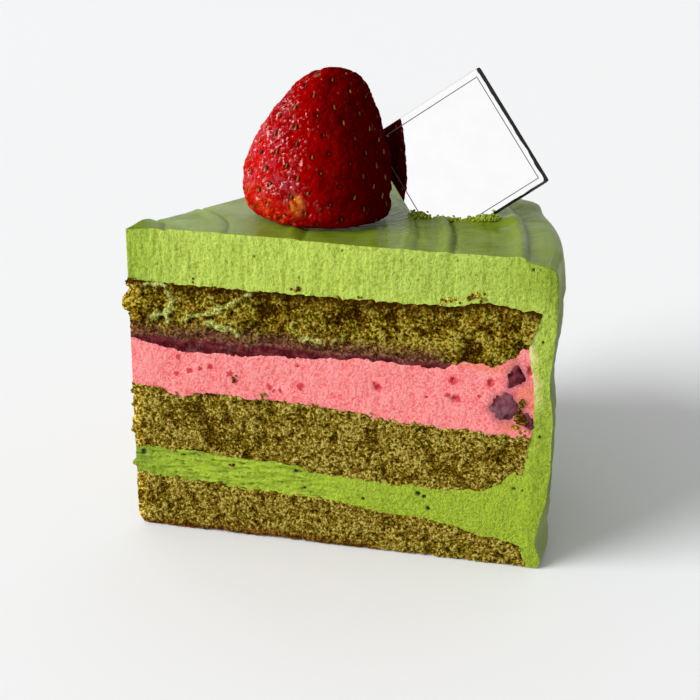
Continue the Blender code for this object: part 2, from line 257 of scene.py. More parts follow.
# close to each cut face, and a few between
layerAngles = np.radians(np.concatenate([[0.0, 1.2], np.linspace(7.5, 52.5, 6), [58.8, 60.0]]))
plainNotes = {"crumb": 0.5, "tint": 0.5}     # away from the cut faces; any other note is 0 there
layerValues = {
    "sponge_bottom": {"name": "bottom_sponge_crumb", "slot": "matcha_sponge", "thickness": 10.0,
                      "stands": True, "tipRound": 1.0, "tipRough": 0.16},
    "matcha_filling": {"name": "matcha_filling_cut", "slot": "matcha_filling", "thickness": 7.5,
                       "tipRough": 0.12, "tipLumps": [(13.2, 0.7, 0.6)]},
    "sponge_middle": {"name": "middle_sponge_crumb", "slot": "matcha_sponge", "thickness": 13.0,
                      "tipRough": 0.3, "tipLumps": [(21.3, 0.5, 1.2)]},
    "strawberry_mousse": {"name": "strawberry_mousse_cut", "slot": "strawberry_mousse", "thickness": 11.5},
    "berry_jam": {"name": "berry_jam_layer", "slot": "berry_jam", "thickness": 2.4, "reach": 63.0},
    "sponge_top": {"name": "top_sponge_crumb", "slot": "matcha_sponge", "thickness": 11.0, "tipRough": 0.35,
                   "tipLumps": [(46.3, 0.6, 1.3), (50.3, 0.4, 0.7)]},
}


def makeLayer(node, lower, upper, reliefOf, material):
    # a wedge of cake between two seams, fine on its cut faces
    values = layerValues[node]
    tipRadius, bite = 0.05, cutValues["overlap"]
    reach = values.get("reach", 77.0)
    stations = stepsBetween(0, 1, cutValues["spacing"] / reach)
    levels = stepsBetween(0, 1, cutValues["spacing"] / values["thickness"])
    angle = layerAngles[:, None]
    across = stations[None, :] * reach
    low = lower(across, angle)
    low = np.maximum(low, 0.0) if values.get("stands") else low - bite
    high = upper(across, angle) + bite
    z = low[..., None] + (high - low)[..., None] * levels
    if "reach" in values:
        r = tipRadius + np.broadcast_to(across[..., None], z.shape)
    else:
        r = tipRadius + stations[None, :, None] * (innerWall(z) + bite - tipRadius)
    turn = angle[..., None]
    grid = np.stack([r * np.cos(turn), r * np.sin(turn), z + 0 * turn], axis=-1)
    relief, notes = {}, {}
    for side in (0, -1):
        spots = cutCoordinates(r[side], z[side], side)
        relief[side], found = reliefOf(spots, z[side] - low[side][:, None], high[side][:, None] - z[side])
        for label, numbers in found.items():
            notes.setdefault(label, np.full(z.shape, plainNotes.get(label, 0.0)))[side] = numbers
    pushCuts(grid, relief)
    # lumps stand out at the tip, and its lowest corner can be worn round
    atTip = spotsAt(0.0, 0.0, z)
    out = values.get("tipRough", 0) * (softNoise(atTip, 1.3, 32) + 0.8 * softNoise(atTip, 0.55, 33))
    for height, far, tall in values.get("tipLumps", ()):
        out = out + far * np.exp(-((z - height) / tall) ** 4)
    inward = values.get("tipRound", 0) * np.exp(-r / 2.0) * bump(z, 0, 1.3) - out * np.exp(-(r / 1.4) ** 2)
    grid[..., 0] += inward * math.cos(sliceAngle / 2)
    grid[..., 1] += inward * math.sin(sliceAngle / 2)
    notes.update({"belowTop": high[..., None] - z, "aboveBase": z - low[..., None], "high": z})
    notes["alongCut"] = r + 0 * z
    makeBlock(values["name"], grid, material, node, notes)


# Shader helpers

class Signal:
    # a number or colour inside a shader, which takes part in ordinary arithmetic

    def __init__(self, tree, socket):
        self.tree = tree
        self.socket = socket

    def maths(self, operation, first, second):
        return use(self.tree, "ShaderNodeMath", 0, {0: first, 1: second}, operation=operation)

    def __add__(self, other):
        return self.maths("ADD", self, other)

    def __mul__(self, other):
        return self.maths("MULTIPLY", self, other)

    def __sub__(self, other):
        return self.maths("SUBTRACT", self, other)

    def __rsub__(self, other):
        return self.maths("SUBTRACT", other, self)

    def __truediv__(self, other):
        return self.maths("DIVIDE", self, other)

    def __rtruediv__(self, other):
        return self.maths("DIVIDE", other, self)

    def rise(self, low, high, least=0.0, most=1.0):
        # goes smoothly from least to most while this goes from low to high
        return use(self.tree, "ShaderNodeMapRange", "Result", {
            "Value": self, "From Min": low, "From Max": high, "To Min": least, "To Max": most,
        }, interpolation_type="SMOOTHSTEP")


def addNode(tree, kind, inputs=None, **settings):
    made = tree.nodes.new(kind)
    for label, value in settings.items():
        setattr(made, label, value)
    for label, value in (inputs or {}).items():
        socket = made.inputs[label]
        if isinstance(value, Signal):
            tree.links.new(value.socket, socket)
        else:
            socket.default_value = (*value, 1.0) if socket.type == "RGBA" else value
    return made


def use(tree, kind, output, inputs=None, **settings):
    return Signal(tree, addNode(tree, kind, inputs, **settings).outputs[output])


def mix(amount, first, second, blend="MIX"):
    tree = next(given.tree for given in (amount, first, second) if isinstance(given, Signal))
    return use(tree, "ShaderNodeMix", 2, {0: amount, 6: first, 7: second}, data_type="RGBA", blend_type=blend)


def note(tree, label):
    # a number stored on the mesh by its maker
    return use(tree, "ShaderNodeAttribute", "Fac", attribute_name=label)


def grain(tree, size, detail=2.0, stretch=(1, 1, 1), roughness=0.5, coarse=1.0):
    # noise with features about size millimetres across, times coarse, fixed to the piece
    place = use(tree, "ShaderNodeTexCoord", "Object")
    moved = use(tree, "ShaderNodeMapping", 0, {"Vector": place, "Scale": tuple(1 / s for s in stretch)})
    return use(tree, "ShaderNodeTexNoise", "Fac", {"Vector": moved, "Scale": 1 / (size * mm) / coarse,
                                                   "Detail": detail, "Roughness": roughness})


def newGroup(name, inputs, outputs, build):
    # a node group whose outputs are what build makes of its inputs
    group = bpy.data.node_groups.new(name, "ShaderNodeTree")
    for labels, way in ((inputs, "INPUT"), (outputs, "OUTPUT")):
        for label in labels:
            kind = "NodeSocketColor" if "Colo" in label else "NodeSocketFloat"
            group.interface.new_socket(label, in_out=way, socket_type=kind)
    given = addNode(group, "NodeGroupInput").outputs
    made = build(group, *(Signal(group, given[label]) for label in inputs))
    addNode(group, "NodeGroupOutput", dict(zip(outputs, made)))
    return group


def fromGroup(tree, group, inputs):
    made = addNode(tree, "ShaderNodeGroup", inputs, node_tree=group)
    return [Signal(tree, socket) for socket in made.outputs]


def crumbNodes(group, crumb, tint, gap, body, tan, tip, coarse):
    # painted shade down between the crumbs and painted light on top of them
    fine = grain(group, 0.56, roughness=0.75, coarse=coarse)
    grains = fine * 3.0 + grain(group, 0.34, 1.0, coarse=coarse) * 2.0
    level = crumb * 1.1 + (grains * 0.82 - 2.11)
    low = mix(level.rise(0.02, 0.42), gap, mix(tint.rise(0.40, 0.85), body, tan))
    return mix(level.rise(0.50, 0.95), low, tip), grains


def whippedNodes(group, bubbleShare, streakShare, levelShare):
    # the tiny bubbles and drag lines of something whipped
    bubbles = grain(group, 0.50, roughness=0.75) * bubbleShare
    height = bubbles + grain(group, 0.50, stretch=(1, 1, 7)) * streakShare
    height = height + grain(group, 0.42, stretch=(6, 6, 1)) * levelShare
    return height, height * 0.92 + grain(group, 2.2, 3.0) * 0.08


def glintNodes(group, share):
    # small broken patches of wet shine, fewer where the share is low
    spots = grain(group, 0.60, stretch=(1, 1, 1.5), roughness=0.65)
    return [(spots + grain(group, 3.2) * 0.45 + share).rise(0.80, 0.92)]


def strokeNodes(group, way, turned, rim):
    # knife strokes on spread cream, outwards over the top and around the rim
    leaning = turned - way * 0.30

    def strokes(far, wide):
        where = use(group, "ShaderNodeCombineXYZ", 0, {"X": way / far, "Y": leaning / wide})
        return use(group, "ShaderNodeTexNoise", "Fac", {"Vector": where, "Scale": 1.0, "Detail": 2.0})

    outward = strokes(6.0, 0.55) * 0.6 + strokes(12.0, 1.8) * 0.8
    around = strokes(0.7, 14.0) * 0.5 + strokes(2.4, 22.0) * 0.9
    return [(outward * (1.0 - rim) + around * rim) * grain(group, 9.0, 1.0).rise(0.35, 0.60, 0.25, 1.0)]


crumbInputs = ("Crumb", "Tint", "Gap Colour", "Body Colour", "Tan Colour", "Tip Colour", "Coarse")
crumbColour = newGroup("crumbColour", crumbInputs, ("Color", "Height"), crumbNodes)
whippedInputs = ("Bubble Share", "Streak Share", "Level Share")
whippedGrain = newGroup("whippedGrain", whippedInputs, ("Height", "Mottle"), whippedNodes)
wetGlints = newGroup("wetGlints", ("Share",), ("Weight",), glintNodes)
brushLines = newGroup("brushLines", ("Way", "Turned", "Rim"), ("Height",), strokeNodes)


def newMaterial(name, roughness, specular=0.5, coat=0.0, coatRoughness=0.1, metallic=0.0, scatter=0.0,
                scatterRadius=(1.0, 0.5, 0.2), scatterScale=1.0):
    material = bpy.data.materials.new(name)
    material.use_nodes = True
    constants = {"Roughness": roughness, "Specular IOR Level": specular, "Coat Weight": coat,
                 "Coat Roughness": coatRoughness, "Metallic": metallic, "Subsurface Weight": scatter,
                 "Subsurface Radius": scatterRadius, "Subsurface Scale": scatterScale * mm}
    for label, value in constants.items():
        material.node_tree.nodes["Principled BSDF"].inputs[label].default_value = value
    return material, material.node_tree


def finishLook(tree, colour, height=None, strength=1.0, distance=0.1, **others):
    # give the shader its colour, its bump, and a coat or roughness that varies
    given = {"Base Color": colour, "Coat Weight": others.get("coat"), "Roughness": others.get("roughness")}
    if height:
        given["Normal"] = use(tree, "ShaderNodeBump", "Normal", {"Height": height, "Strength": strength,
                                                                 "Distance": distance * mm})
    for label, value in given.items():
        if value:
            tree.links.new(value.socket, tree.nodes["Principled BSDF"].inputs[label])


def spongeMaterial(name, colours, crust=None, stain=None):
    # baked crumb, with a browned crust under its top seam, a stain from below and cream dragged over it
    material, tree = newMaterial(name, 0.8, 0.0)
    chosen = [colours[label] for label in ("gap", "body", "tan", "tip", "coarse")]
    inputs = dict(zip(crumbInputs, (note(tree, "crumb"), note(tree, "tint"), *chosen)))
    colour, height = fromGroup(tree, crumbColour, inputs)
    wander = grain(tree, 2.6)
    along = note(tree, "alongCut")
    if crust:
        middle = crust["wander"] * 0.5
        depth = note(tree, "belowTop") + wander * crust["wander"]
        amount = depth.rise(crust["depth"] + middle, middle, 0.0, crust["share"])
        colour = mix(amount, colour, mix(height.rise(2.6, 3.5), crust["dark"], crust["light"]))
    if stain:
        middle = stain["wander"] * 0.5
        up = note(tree, "aboveBase") + wander * stain["wander"]
        amount = up.rise(stain["height"] + middle, stain["solid"] + middle, 0.0, stain["share"])
        amount = amount * along.rise(stain["end"] + 3.0, stain["end"] - 3.0)
        colour = mix(amount, colour, mix(height.rise(2.15, 3.05), stain["dark"], stain["light"]))
    dragged = mix(height.rise(2.1, 2.9), (0.170, 0.185, 0.016), (0.560, 0.600, 0.190))
    colour = mix(note(tree, "smear") * 0.8, colour, dragged)
    # painted light: the torn edge at the tip, lit from the left, is made lighter
    colour = mix(along.rise(3.2, 0.4, 0.0, 0.8), colour, mix(1.0, colour, (1.8, 1.65, 1.6), "MULTIPLY"))
    finishLook(tree, colour, height, 1.0, 0.12)
    return material


def whippedMaterial(name, values, patches=None):
    # cream, filling or mousse: a light body with painted shade in the hollows between its bubbles and painted
    # light on their tops
    scatter = {label: values[label] for label in ("scatter", "scatterRadius", "scatterScale")}
    material, tree = newMaterial(name, values["roughness"], values.get("specular", 0.4), **scatter)
    shares = [values["bubbles"], values["streaks"], values.get("level", 0.0)]
    follow = values.get("follow", 0.5)       # how far the colour follows the relief
    middle = 0.46 * sum(shares) + 0.01 + 0.5 * follow
    reach = 0.23 / values.get("contrast", 1.0)
    if "levelFade" in values:
        # drag lines give way to bubbles towards the rim
        level = note(tree, "alongCut").rise(30.0, 56.0, *values["levelFade"])
        shares = [sum(shares) - level, 0.0, level]
    height, mottle = fromGroup(tree, whippedGrain, dict(zip(whippedInputs, shares)))
    # the mottle and the crumb note paint shade into the hollows and light onto the tops
    amount = (mottle + note(tree, "crumb") * follow).rise(middle - reach, middle + reach)
    colour = mix(amount, values["shade"], values["light"])
    if patches:
        colour = patches(tree, colour)
    roughness = None
    if "skinRoughness" in values:
        # the cut's grain gives way to knife strokes on the skin, glossy on top and matt down the rim
        skin, along = note(tree, "skin"), note(tree, "alongCut")
        strokes, = fromGroup(tree, brushLines, {"Way": note(tree, "way"), "Turned": note(tree, "turned"),
                                                "Rim": along.rise(76.5, 78.0)})
        height = height * (1.0 - skin) + strokes * 1.1 * skin
        matt, glossy = values["skinRoughness"]
        gloss = skin * note(tree, "high").rise(56.0, 59.5) * along.rise(64.0, 79.0, 1.0, 0.55)
        roughness = matt - gloss * (matt - glossy)
    finishLook(tree, colour, height, values["bump"], 0.42, roughness=roughness)
    return material


# The cut faces

def seamEdge(aboveBase, belowTop):
    # nearly 1 at a layer's own edges, where the cut dips in, and 0 away from them
    return np.minimum(np.exp(-aboveBase / 0.2) + np.exp(-belowTop / 0.2), 1)


def spongeRelief(coarse, seed, hollow, smeared=False):
    # rounded crumbs of three sizes with torn pores between them
    def relief(spots, aboveBase, belowTop):
        big, _, bigOwn = cellNoise(spots, 1.5 * coarse, seed)
        small, smallSecond, own = cellNoise(spots, 0.78, seed + 10)
        lumps = 1 - (big / 0.72) ** 2
        grains = 1 - (small / 0.72) ** 2
        gaps = smoothStep(0.22, 0.04, smallSecond - small)
        fine = softNoise(spots, 0.45, seed + 30)
        pores = softNoise(spots, 1.5 * coarse, seed + 31) + 0.4 * softNoise(spots, 0.8, seed + 32)
        torn = smoothStep(0.34, 0.70, pores)
        cloudy = softNoise(spots, 3.5, seed + 33) + 0.6 * softNoise(spots, 1.8, seed + 34)
        cavity = smoothStep(0.40, 0.85, -cloudy)
        height = (0.16 * lumps * coarse + 0.12 * grains + 0.14 * fine - 0.40 * torn * coarse
                  + hollow * (0.20 * cloudy - 0.40 * cavity))
        # painted shade in the crumb note: darker in torn pores, cavities and between grains, lighter on the
        # lumps
        crumb = (0.40 + 0.14 * grains + 0.14 * lumps + 0.22 * fine - 0.34 * torn * coarse - 0.10 * gaps
                 + hollow * (0.24 * cloudy - 0.30 * cavity))
        notes = {"crumb": np.clip(crumb, 0, 1), "tint": 0.6 * own + 0.4 * bigOwn}
        if smeared:
            # a gap here and there under the cream, with painted shade darkening the crumb in it, then the
            # cream dragged over the crumb
            gap = np.exp(-belowTop / 0.55) * smoothStep(-0.5, 0.3, softNoise(spots, 2.4, seed + 35))
            height = height - 0.25 * gap
            notes["crumb"] = np.clip(notes["crumb"] - 0.45 * gap, 0, 1)
            smear = smearAt(spots[..., 0], spots[..., 2])
            height = height * (1 - 0.4 * smear) + 0.32 * smear
            notes["smear"] = smear
        return height - 0.10 * seamEdge(aboveBase, belowTop), notes

    return relief


# light cream dragged over the top sponge, each as a path of (along the cut, height) and a half width
smearPaths = [
    ([(11.5, 44.4), (14.0, 45.0), (16.5, 45.8), (18.5, 46.9), (20.2, 48.0), (21.8, 49.3), (23.5, 49.9)],
     0.55),
    ([(7.6, 49.2), (8.6, 47.6), (8.2, 46.2), (7.2, 45.0)], 0.70),
    ([(4.6, 43.6), (6.0, 44.4), (7.2, 43.9)], 0.75),
    ([(15.4, 43.6), (17.0, 43.3), (18.4, 42.6), (19.8, 42.9), (21.0, 42.2)], 0.5),
    ([(3.2, 50.2), (5.4, 50.6), (7.4, 50.2)], 0.45),
    ([(33.5, 41.9), (35.5, 42.3), (37.0, 41.7)], 0.55),
    ([(40.0, 42.6), (41.2, 42.9)], 0.5),
]


def smearAt(along, z):
    # how much of that cream covers a place on the cut
    where = spotsAt(along, 0.0, z)
    ragged = softNoise(where, 1.2, 171) + 0.8 * softNoise(where, 0.6, 172)
    total = np.zeros(along.shape)
    for path, width in smearPaths:
        away = np.full(along.shape, 99.0)
        path = np.array(path, dtype=float)
        for start, end in zip(path[:-1], path[1:]):
            go = end - start
            share = np.clip(((along - start[0]) * go[0] + (z - start[1]) * go[1]) / (go @ go), 0, 1)
            away = np.minimum(away, np.hypot(along - start[0] - share * go[0], z - start[1] - share * go[1]))
        total = np.maximum(total, smoothStep(1.3 * width, 0.5 * width, away + 1.0 * width * ragged))
    return total


def pierce(height, crumb, spots, pinholes, deep, dark):
    # small round holes, each as (along the cut, height, size), with painted shade darkening the crumb note in
    # them
    for along, z, size in pinholes:
        hole = np.exp(-(np.hypot(spots[..., 0] - along, spots[..., 2] - z) / size) ** 2)
        height = height - deep * size * hole
        crumb = crumb - dark * hole
    return height, np.clip(crumb, 0, 1)


# where fruit has tinged the mousse orange, as (along the cut, height, half width, half height)
amberSpots = [(75.2, 34.6, 1.9, 3.2), (73.0, 28.6, 3.0, 1.0), (67.5, 39.8, 5.5, 0.7), (72.6, 41.0, 1.2, 1.0),
              (76.4, 29.0, 1.0, 1.8)]


def fruitStains(spots):
    # purple around the pieces of fruit and orange beside them, on the front cut only
    along, z = spots[..., 0], spots[..., 2]
    front = (spots[..., 1] < 30).astype(float)
    ragged = softNoise(spots, 1.4, 173) + 0.7 * softNoise(spots, 0.7, 174)
    purple, amber = 0.0, 0.0
    for values in pulpValues.values():
        dx, dz = along - values["spot"][0], z - values["spot"][1]
        away = np.hypot(dx, dz) / pulpReach(values, np.arctan2(dz, dx))
        purple = np.maximum(purple, smoothStep(1.45, 0.98, away + 0.16 * ragged))
    for x, height, wide, tall in amberSpots:
        away = np.hypot((along - x) / wide, (z - height) / tall)
        amber = np.maximum(amber, smoothStep(1.3, 0.5, away + 0.3 * ragged))
    return purple * front, amber * front


spongeColours = {"gap": (0.040, 0.019, 0.0003), "body": (0.155, 0.108, 0.006), "tan": (0.220, 0.138, 0.016),
                 "tip": (0.465, 0.385, 0.090), "coarse": 1.0}
topSpongeColours = {"gap": (0.026, 0.010, 0.0002), "body": (0.112, 0.080, 0.0015),
                    "tan": (0.180, 0.092, 0.005), "tip": (0.375, 0.320, 0.052), "coarse": 1.15}


def makeSponges():
    plain = spongeMaterial("matchaSponge", spongeColours)
    based = spongeMaterial("matchaSpongeBase", spongeColours,
                           stain={"height": 2.3, "solid": 0.3, "wander": 2.2, "share": 0.88, "end": 48.0,
                                  "dark": (0.040, 0.011, 0.0006), "light": (0.205, 0.080, 0.008)})
    topped = spongeMaterial("matchaSpongeTop", topSpongeColours,
                            crust={"depth": 2.9, "wander": 3.4, "share": 0.92, "dark": (0.030, 0.011, 0.0004),
                                   "light": (0.250, 0.120, 0.010)},
                            stain={"height": 3.8, "solid": 0.2, "wander": 3.4, "share": 0.94, "end": 60.0,
                                   "dark": (0.060, 0.018, 0.010), "light": (0.210, 0.092, 0.048)})
    makeLayer("sponge_bottom", partial(seamHeight, "underside"), partial(seamHeight, "bottom"),
              spongeRelief(0.8, 41, 0.35), based)
    makeLayer("sponge_middle", partial(seamHeight, "filling"), partial(seamHeight, "mousse"),
              spongeRelief(0.9, 42, 0.6), plain)
    makeLayer("sponge_top", partial(seamHeight, "sponge"), partial(seamHeight, "cream"),
              spongeRelief(1.25, 43, 0.95, smeared=True), topped)


creamPinholes = [(56, 12.9, 0.35), (57.2, 12.4, 0.3), (74, 16, 0.3), (75.6, 15.9, 0.16), (1.6, 15.7, 0.35),
                 (45.5, 10.6, 0.25), (58.0, 10.0, 0.3), (34.0, 11.5, 0.2), (24.6, 57.4, 0.18),
                 (75.4, 59.0, 0.2), (76.6, 59.2, 0.13), (9.8, 57.6, 0.14), (62.0, 59.6, 0.15),
                 (41.0, 59.9, 0.13), (6.0, 54.5, 0.16), (65.4, 57.2, 0.14), (55.0, 55.4, 0.13),
                 (33.0, 54.0, 0.13), (77.8, 45.6, 0.2), (78.2, 27.0, 0.2)]


def creamRelief(spots, aboveBase, belowTop):
    # knife drag and small bubbles, the same for the coat and the filling so that they run together
    along, z = spots[..., 0], spots[..., 2]
    inFilling = smoothStep(21.0, 18.0, z) * smoothStep(48.0, 30.0, along)
    grooves = softNoise(spots, (4.0, 4.0, 0.5), 51) + 0.6 * softNoise(spots, (2.0, 2.0, 0.3), 52)
    upright = softNoise(spots, (0.6, 0.6, 3.5), 53) + 0.5 * softNoise(spots, (1.5, 1.5, 8.0), 54)
    lumps = softNoise(spots, 0.6, 55)
    lean = spotsAt(along, spots[..., 1], z + 0.12 * along)
    dents = smoothStep(0.42, 0.78, softNoise(lean, (1.5, 1.5, 0.32), 57)) * inFilling
    drag = 1.2 * grooves * inFilling
    drag = drag + 0.45 * upright * (1 - inFilling) * (0.25 + 0.75 * smoothStep(42.0, 54.0, z))
    height = 0.20 * drag + 0.08 * lumps + 0.14 * softNoise(spots, 5.0, 56) - 0.34 * dents
    height = height - np.minimum(0.24, 0.005 * along) * np.exp(-belowTop / 0.35) * smoothStep(49.0, 52.0, z)
    # painted shade in the crumb note: darker in the dents and pinholes, lighter on the drag ridges
    crumb = 0.5 + 0.20 * drag + 0.12 * lumps - 0.36 * dents
    height, crumb = pierce(height, crumb, spots, creamPinholes, 1.6, 3.0)
    return height, {"crumb": crumb}


def creamPatches(tree, colour):
    # painted shade: darker green low down, next to the tip, up at the rim's corner and down the rim
    along, high = note(tree, "alongCut"), note(tree, "high")
    paintedShades = ((high.rise(50.0, 14.0), (0.73, 0.78, 0.19)),
              (along.rise(12.0, 0.0), (0.70, 0.78, 0.40)),
              (along.rise(40.0, 56.0) * high.rise(49.0, 55.0), (0.88, 0.90, 0.93)),
              (along.rise(65.0, 79.0) * high.rise(50.0, 58.0), (0.73, 0.76, 0.29)),
              (along.rise(75.5, 78.5), (0.80, 0.82, 0.62)))
    for amount, tint in paintedShades:
        colour = mix(amount, colour, mix(1.0, colour, tint, "MULTIPLY"))
    # painted shade, near black, in the pinholes and dents
    colour = mix(note(tree, "crumb").rise(0.20, 0.04), colour, (0.016, 0.026, 0.0004))
    colour = mix(note(tree, "blend") * 0.75, colour, (0.68, 0.60, 0.27))
    spread = mix(along.rise(34.0, 8.0), (0.160, 0.226, 0.008), (0.186, 0.300, 0.008))
    # painted shade down the rim's outer wall
    spread = mix(high.rise(58.0, 50.0, 0.0, 0.7), spread, (0.110, 0.150, 0.012))
    spread = mix(high.rise(15.0, 7.0), spread, (0.260, 0.315, 0.095))
    return mix(note(tree, "skin") * 0.92, colour, spread)


creamLook = {"roughness": 0.5, "specular": 0.30, "scatter": 0.3, "scatterRadius": (0.9, 1.0, 0.25),
             "scatterScale": 0.5, "bubbles": 0.8, "streaks": 0.28, "contrast": 1.4, "bump": 1.0,
             "shade": (0.260, 0.340, 0.018), "light": (0.450, 0.580, 0.082)}
mousseLook = {"roughness": 0.48, "scatter": 0.3, "scatterRadius": (1.4, 0.5, 0.4), "scatterScale": 0.5,
              "bubbles": 0.9, "streaks": 0.1, "contrast": 1.7, "follow": 0.2, "bump": 0.8,
              "shade": (0.735, 0.092, 0.098), "light": (0.805, 0.277, 0.266)}
mousseValues = {"drag": (0.9, 0.9, 1.6), "dragDepth": 0.05, "lumpDepth": 0.06, "waveDepth": 0.12,
                "pinholes": [(68.8, 36.9, 0.45), (62.2, 32.9, 0.5), (61.9, 36.9, 0.35), (47.9, 33.8, 0.4),
                             (63.6, 38.8, 0.15), (75.85, 39.8, 0.5), (75.8, 40.4, 0.4), (76.9, 28.6, 0.5)]}

# crushed berry in the mousse, as (along the cut, height, size)
mousseFlecks = [(11.6, 33.6, 0.75), (8.9, 32.8, 0.6), (19.5, 33.8, 0.75), (20.5, 32.6, 0.7),
                (27.2, 31.8, 0.65), (29.2, 31.4, 0.5), (28.2, 31.1, 0.45), (33.2, 32.5, 0.85),
                (15.6, 34.8, 0.6), (32.6, 36.7, 0.45), (13.6, 34.3, 0.45), (9.4, 36.2, 0.5),
                (48.0, 33.9, 0.9), (61.8, 36.6, 0.85), (68.8, 36.8, 0.8), (60.9, 33.7, 0.65),
                (62.6, 33.1, 0.85), (66.9, 34.0, 0.5), (57.0, 33.0, 0.4), (75.85, 39.8, 0.8),
                (76.9, 28.6, 0.7), (47.2, 34.6, 0.4), (42.0, 39.0, 0.4)]


def fleckPatches(tree, colour):
    # red flecks, each with an uneven edge
    def vector(operation, inputs, output="Vector"):
        return use(tree, "ShaderNodeVectorMath", output, inputs, operation=operation)

    place = use(tree, "ShaderNodeTexCoord", "Object")
    torn = use(tree, "ShaderNodeTexNoise", "Color", {"Vector": place, "Scale": 1400.0, "Detail": 2.0})
    shift = vector("SUBTRACT", {0: torn, 1: (0.5, 0.5, 0.5)})
    where = vector("ADD", {0: place, 1: vector("SCALE", {0: shift, "Scale": 1.1 * mm})})
    total = grain(tree, 1.9, 1.0).rise(0.74, 0.82, 0.0, 0.6)
    for along, z, size in mousseFlecks:
        away = vector("DISTANCE", {0: where, 1: tuple(toWorld((along, 0.0, z)))}, "Value")
        total = total.maths("MAXIMUM", total, away.rise(1.2 * size * mm, 0.6 * size * mm))
    colour = mix(total * 0.94, colour, (0.49, 0.005, 0.016))
    colour = mix(note(tree, "amber") * 0.6, colour, (0.66, 0.150, 0.060))
    return mix(note(tree, "stain") * 0.6, colour, (0.360, 0.075, 0.105))


def mousseRelief(spots, aboveBase, belowTop):
    # knife drag and small bubbles
    values = mousseValues
    stretched = np.array(values["drag"], dtype=float)
    drag = softNoise(spots, stretched, 61) + 0.5 * softNoise(spots, stretched * 0.5, 62)
    lumps = softNoise(spots, 0.6, 63)
    waves = softNoise(spots, 5.0, 64)
    height = values["dragDepth"] * drag + values["lumpDepth"] * lumps + values["waveDepth"] * waves
    # painted shade in the crumb note: darker in the pinholes, and following the drag and lumps
    height, crumb = pierce(height, 0.5 + 0.22 * drag + 0.2 * lumps, spots, values["pinholes"], 1.4, 2.5)
    stain, amber = fruitStains(spots)
    return height - 0.1 * seamEdge(aboveBase, belowTop), {"crumb": crumb, "stain": stain, "amber": amber}


def jamRelief(spots, aboveBase, belowTop):
    lumps, small = softNoise(spots, 1.6, 71), softNoise(spots, 0.6, 72)
    return 0.22 * lumps + 0.10 * small - 0.12, {"crumb": np.clip(0.5 + 0.4 * lumps + 0.2 * small, 0, 1)}


def jamMaterial():
    material, tree = newMaterial("berryJam", 0.30, 0.0, coatRoughness=0.12)
    seedy = grain(tree, 1.3, stretch=(1.8, 1.8, 1.0))
    colour = mix(seedy.rise(0.40, 0.68), (0.062, 0.005, 0.008), (0.140, 0.024, 0.026))
    fine = grain(tree, 0.5, roughness=0.75).rise(0.38, 0.66)
    grains = mix(fine, (0.060, 0.014, 0.009), (0.250, 0.095, 0.058))
    under = note(tree, "belowTop") + grain(tree, 1.6) * 1.6
    colour = mix(under.rise(1.9, 0.9), colour, grains)
    glints, = fromGroup(tree, wetGlints, {"Share": 0.02})
    finishLook(tree, colour, seedy + grain(tree, 0.5), 0.8, 0.3, coat=glints)
    return material


def makeSoftLayers():
    fillingLook = {**creamLook, "bubbles": 0.7, "level": 0.4, "streaks": 0.0, "levelFade": (0.45, 0.05)}
    makeLayer("matcha_filling", partial(seamHeight, "bottom"), partial(seamHeight, "filling"), creamRelief,
              whippedMaterial("matchaFilling", fillingLook, creamPatches))
    # the jam lies on the mousse, and runs out before the rim
    mousseTop = partial(seamBetween, "jam", "sponge", 60.5, 63.5)
    makeLayer("strawberry_mousse", partial(seamHeight, "mousse"), mousseTop, mousseRelief,
              whippedMaterial("strawberryMousse", mousseLook, fleckPatches))
    makeLayer("berry_jam", partial(seamBetween, "jam", "sponge", 60.0, 63.0), partial(seamHeight, "sponge"),
              jamRelief, jamMaterial())


# The cream coat

coatValues = {"name": "cream_coat_spread", "spacing": 0.27, "angleSteps": 72, "topEnds": 77.4,
              "ridges": ((18.7, 0.7), (32.8, 1.0), (47.0, 0.5), (53.6, 0.9), (60.8, 1.9), (66.5, 0.25),
                         (73.9, 1.8)),
              "ridgeHeight": 0.30, "grooveDepth": 0.26, "lipHeight": 0.6, "rimSpread": 7.5,
              "smearDepth": 0.25, "smearSpacing": 9.0}


def rimLip(angle):
    # how far the rim's upper corner stands out, as against the front cut
    full = smoothStep(math.radians(0.8), math.radians(7), angle)
    return full + 1.1 * bump(angle, math.radians(27), math.radians(2.6))


def creamTop(radius, angle):
    # turntable rings, each a swelling with a crease outside it, and the lip dragged up at the rear cut
    wobble = 0.7 * softNoise(spotsAt(radius, angle * 12, 0), 3.0, 91)
    height = topLine(radius)
    behind = 0.35 + 0.65 * smoothStep(0.0, math.radians(4), angle)
    for ring, strength in coatValues["ridges"]:
        at = radius - wobble
        strength = strength * behind
        height = height + strength * coatValues["ridgeHeight"] * bump(at, ring - 1.2, 1.3)
        height = height - strength * coatValues["grooveDepth"] * bump(at, ring + 0.5, 0.5)
    rear = angle / sliceAngle
    height = height - 0.45 * rear ** 2 * smoothStep(3.0, 10.0, radius) * smoothStep(56.0, 40.0, radius)
    height = height + coatValues["lipHeight"] * rear ** 2 * bump(radius, 4.6, 2.4)
    height = height - 0.35 * bump(radius + 0.5 * wobble, 7.4, 0.6)
    height = height + 0.65 * rimLip(angle) * smoothStep(73.5, 77.5, radius)
    # cream pushed up in front of the tag's lower edge
    x, y = radius * np.cos(angle), radius * np.sin(angle)
    height = height + 0.9 * smoothStep(57.0, 65.0, x) * smoothStep(73.0, 68.5, x) * bump(y, 21.2, 2.0)
    sweep = spotsAt(radius, angle * 25, 0)
    height = height + 0.03 * softNoise(sweep, (0.9, 8.0, 1.0), 92)
    height = height + 0.14 * softNoise(sweep, (4.0, 9.0, 1.0), 93)
    # the cream stands up a little around the strawberry's foot
    fromBerry = np.hypot((x - 33.3) / 12.9, (y - 16.0) / 9.8)
    height = height + 0.06 * bump(fromBerry, 0.99, 0.03)
    return height + 0.3 * driftOf(radius, angle, 9.5)


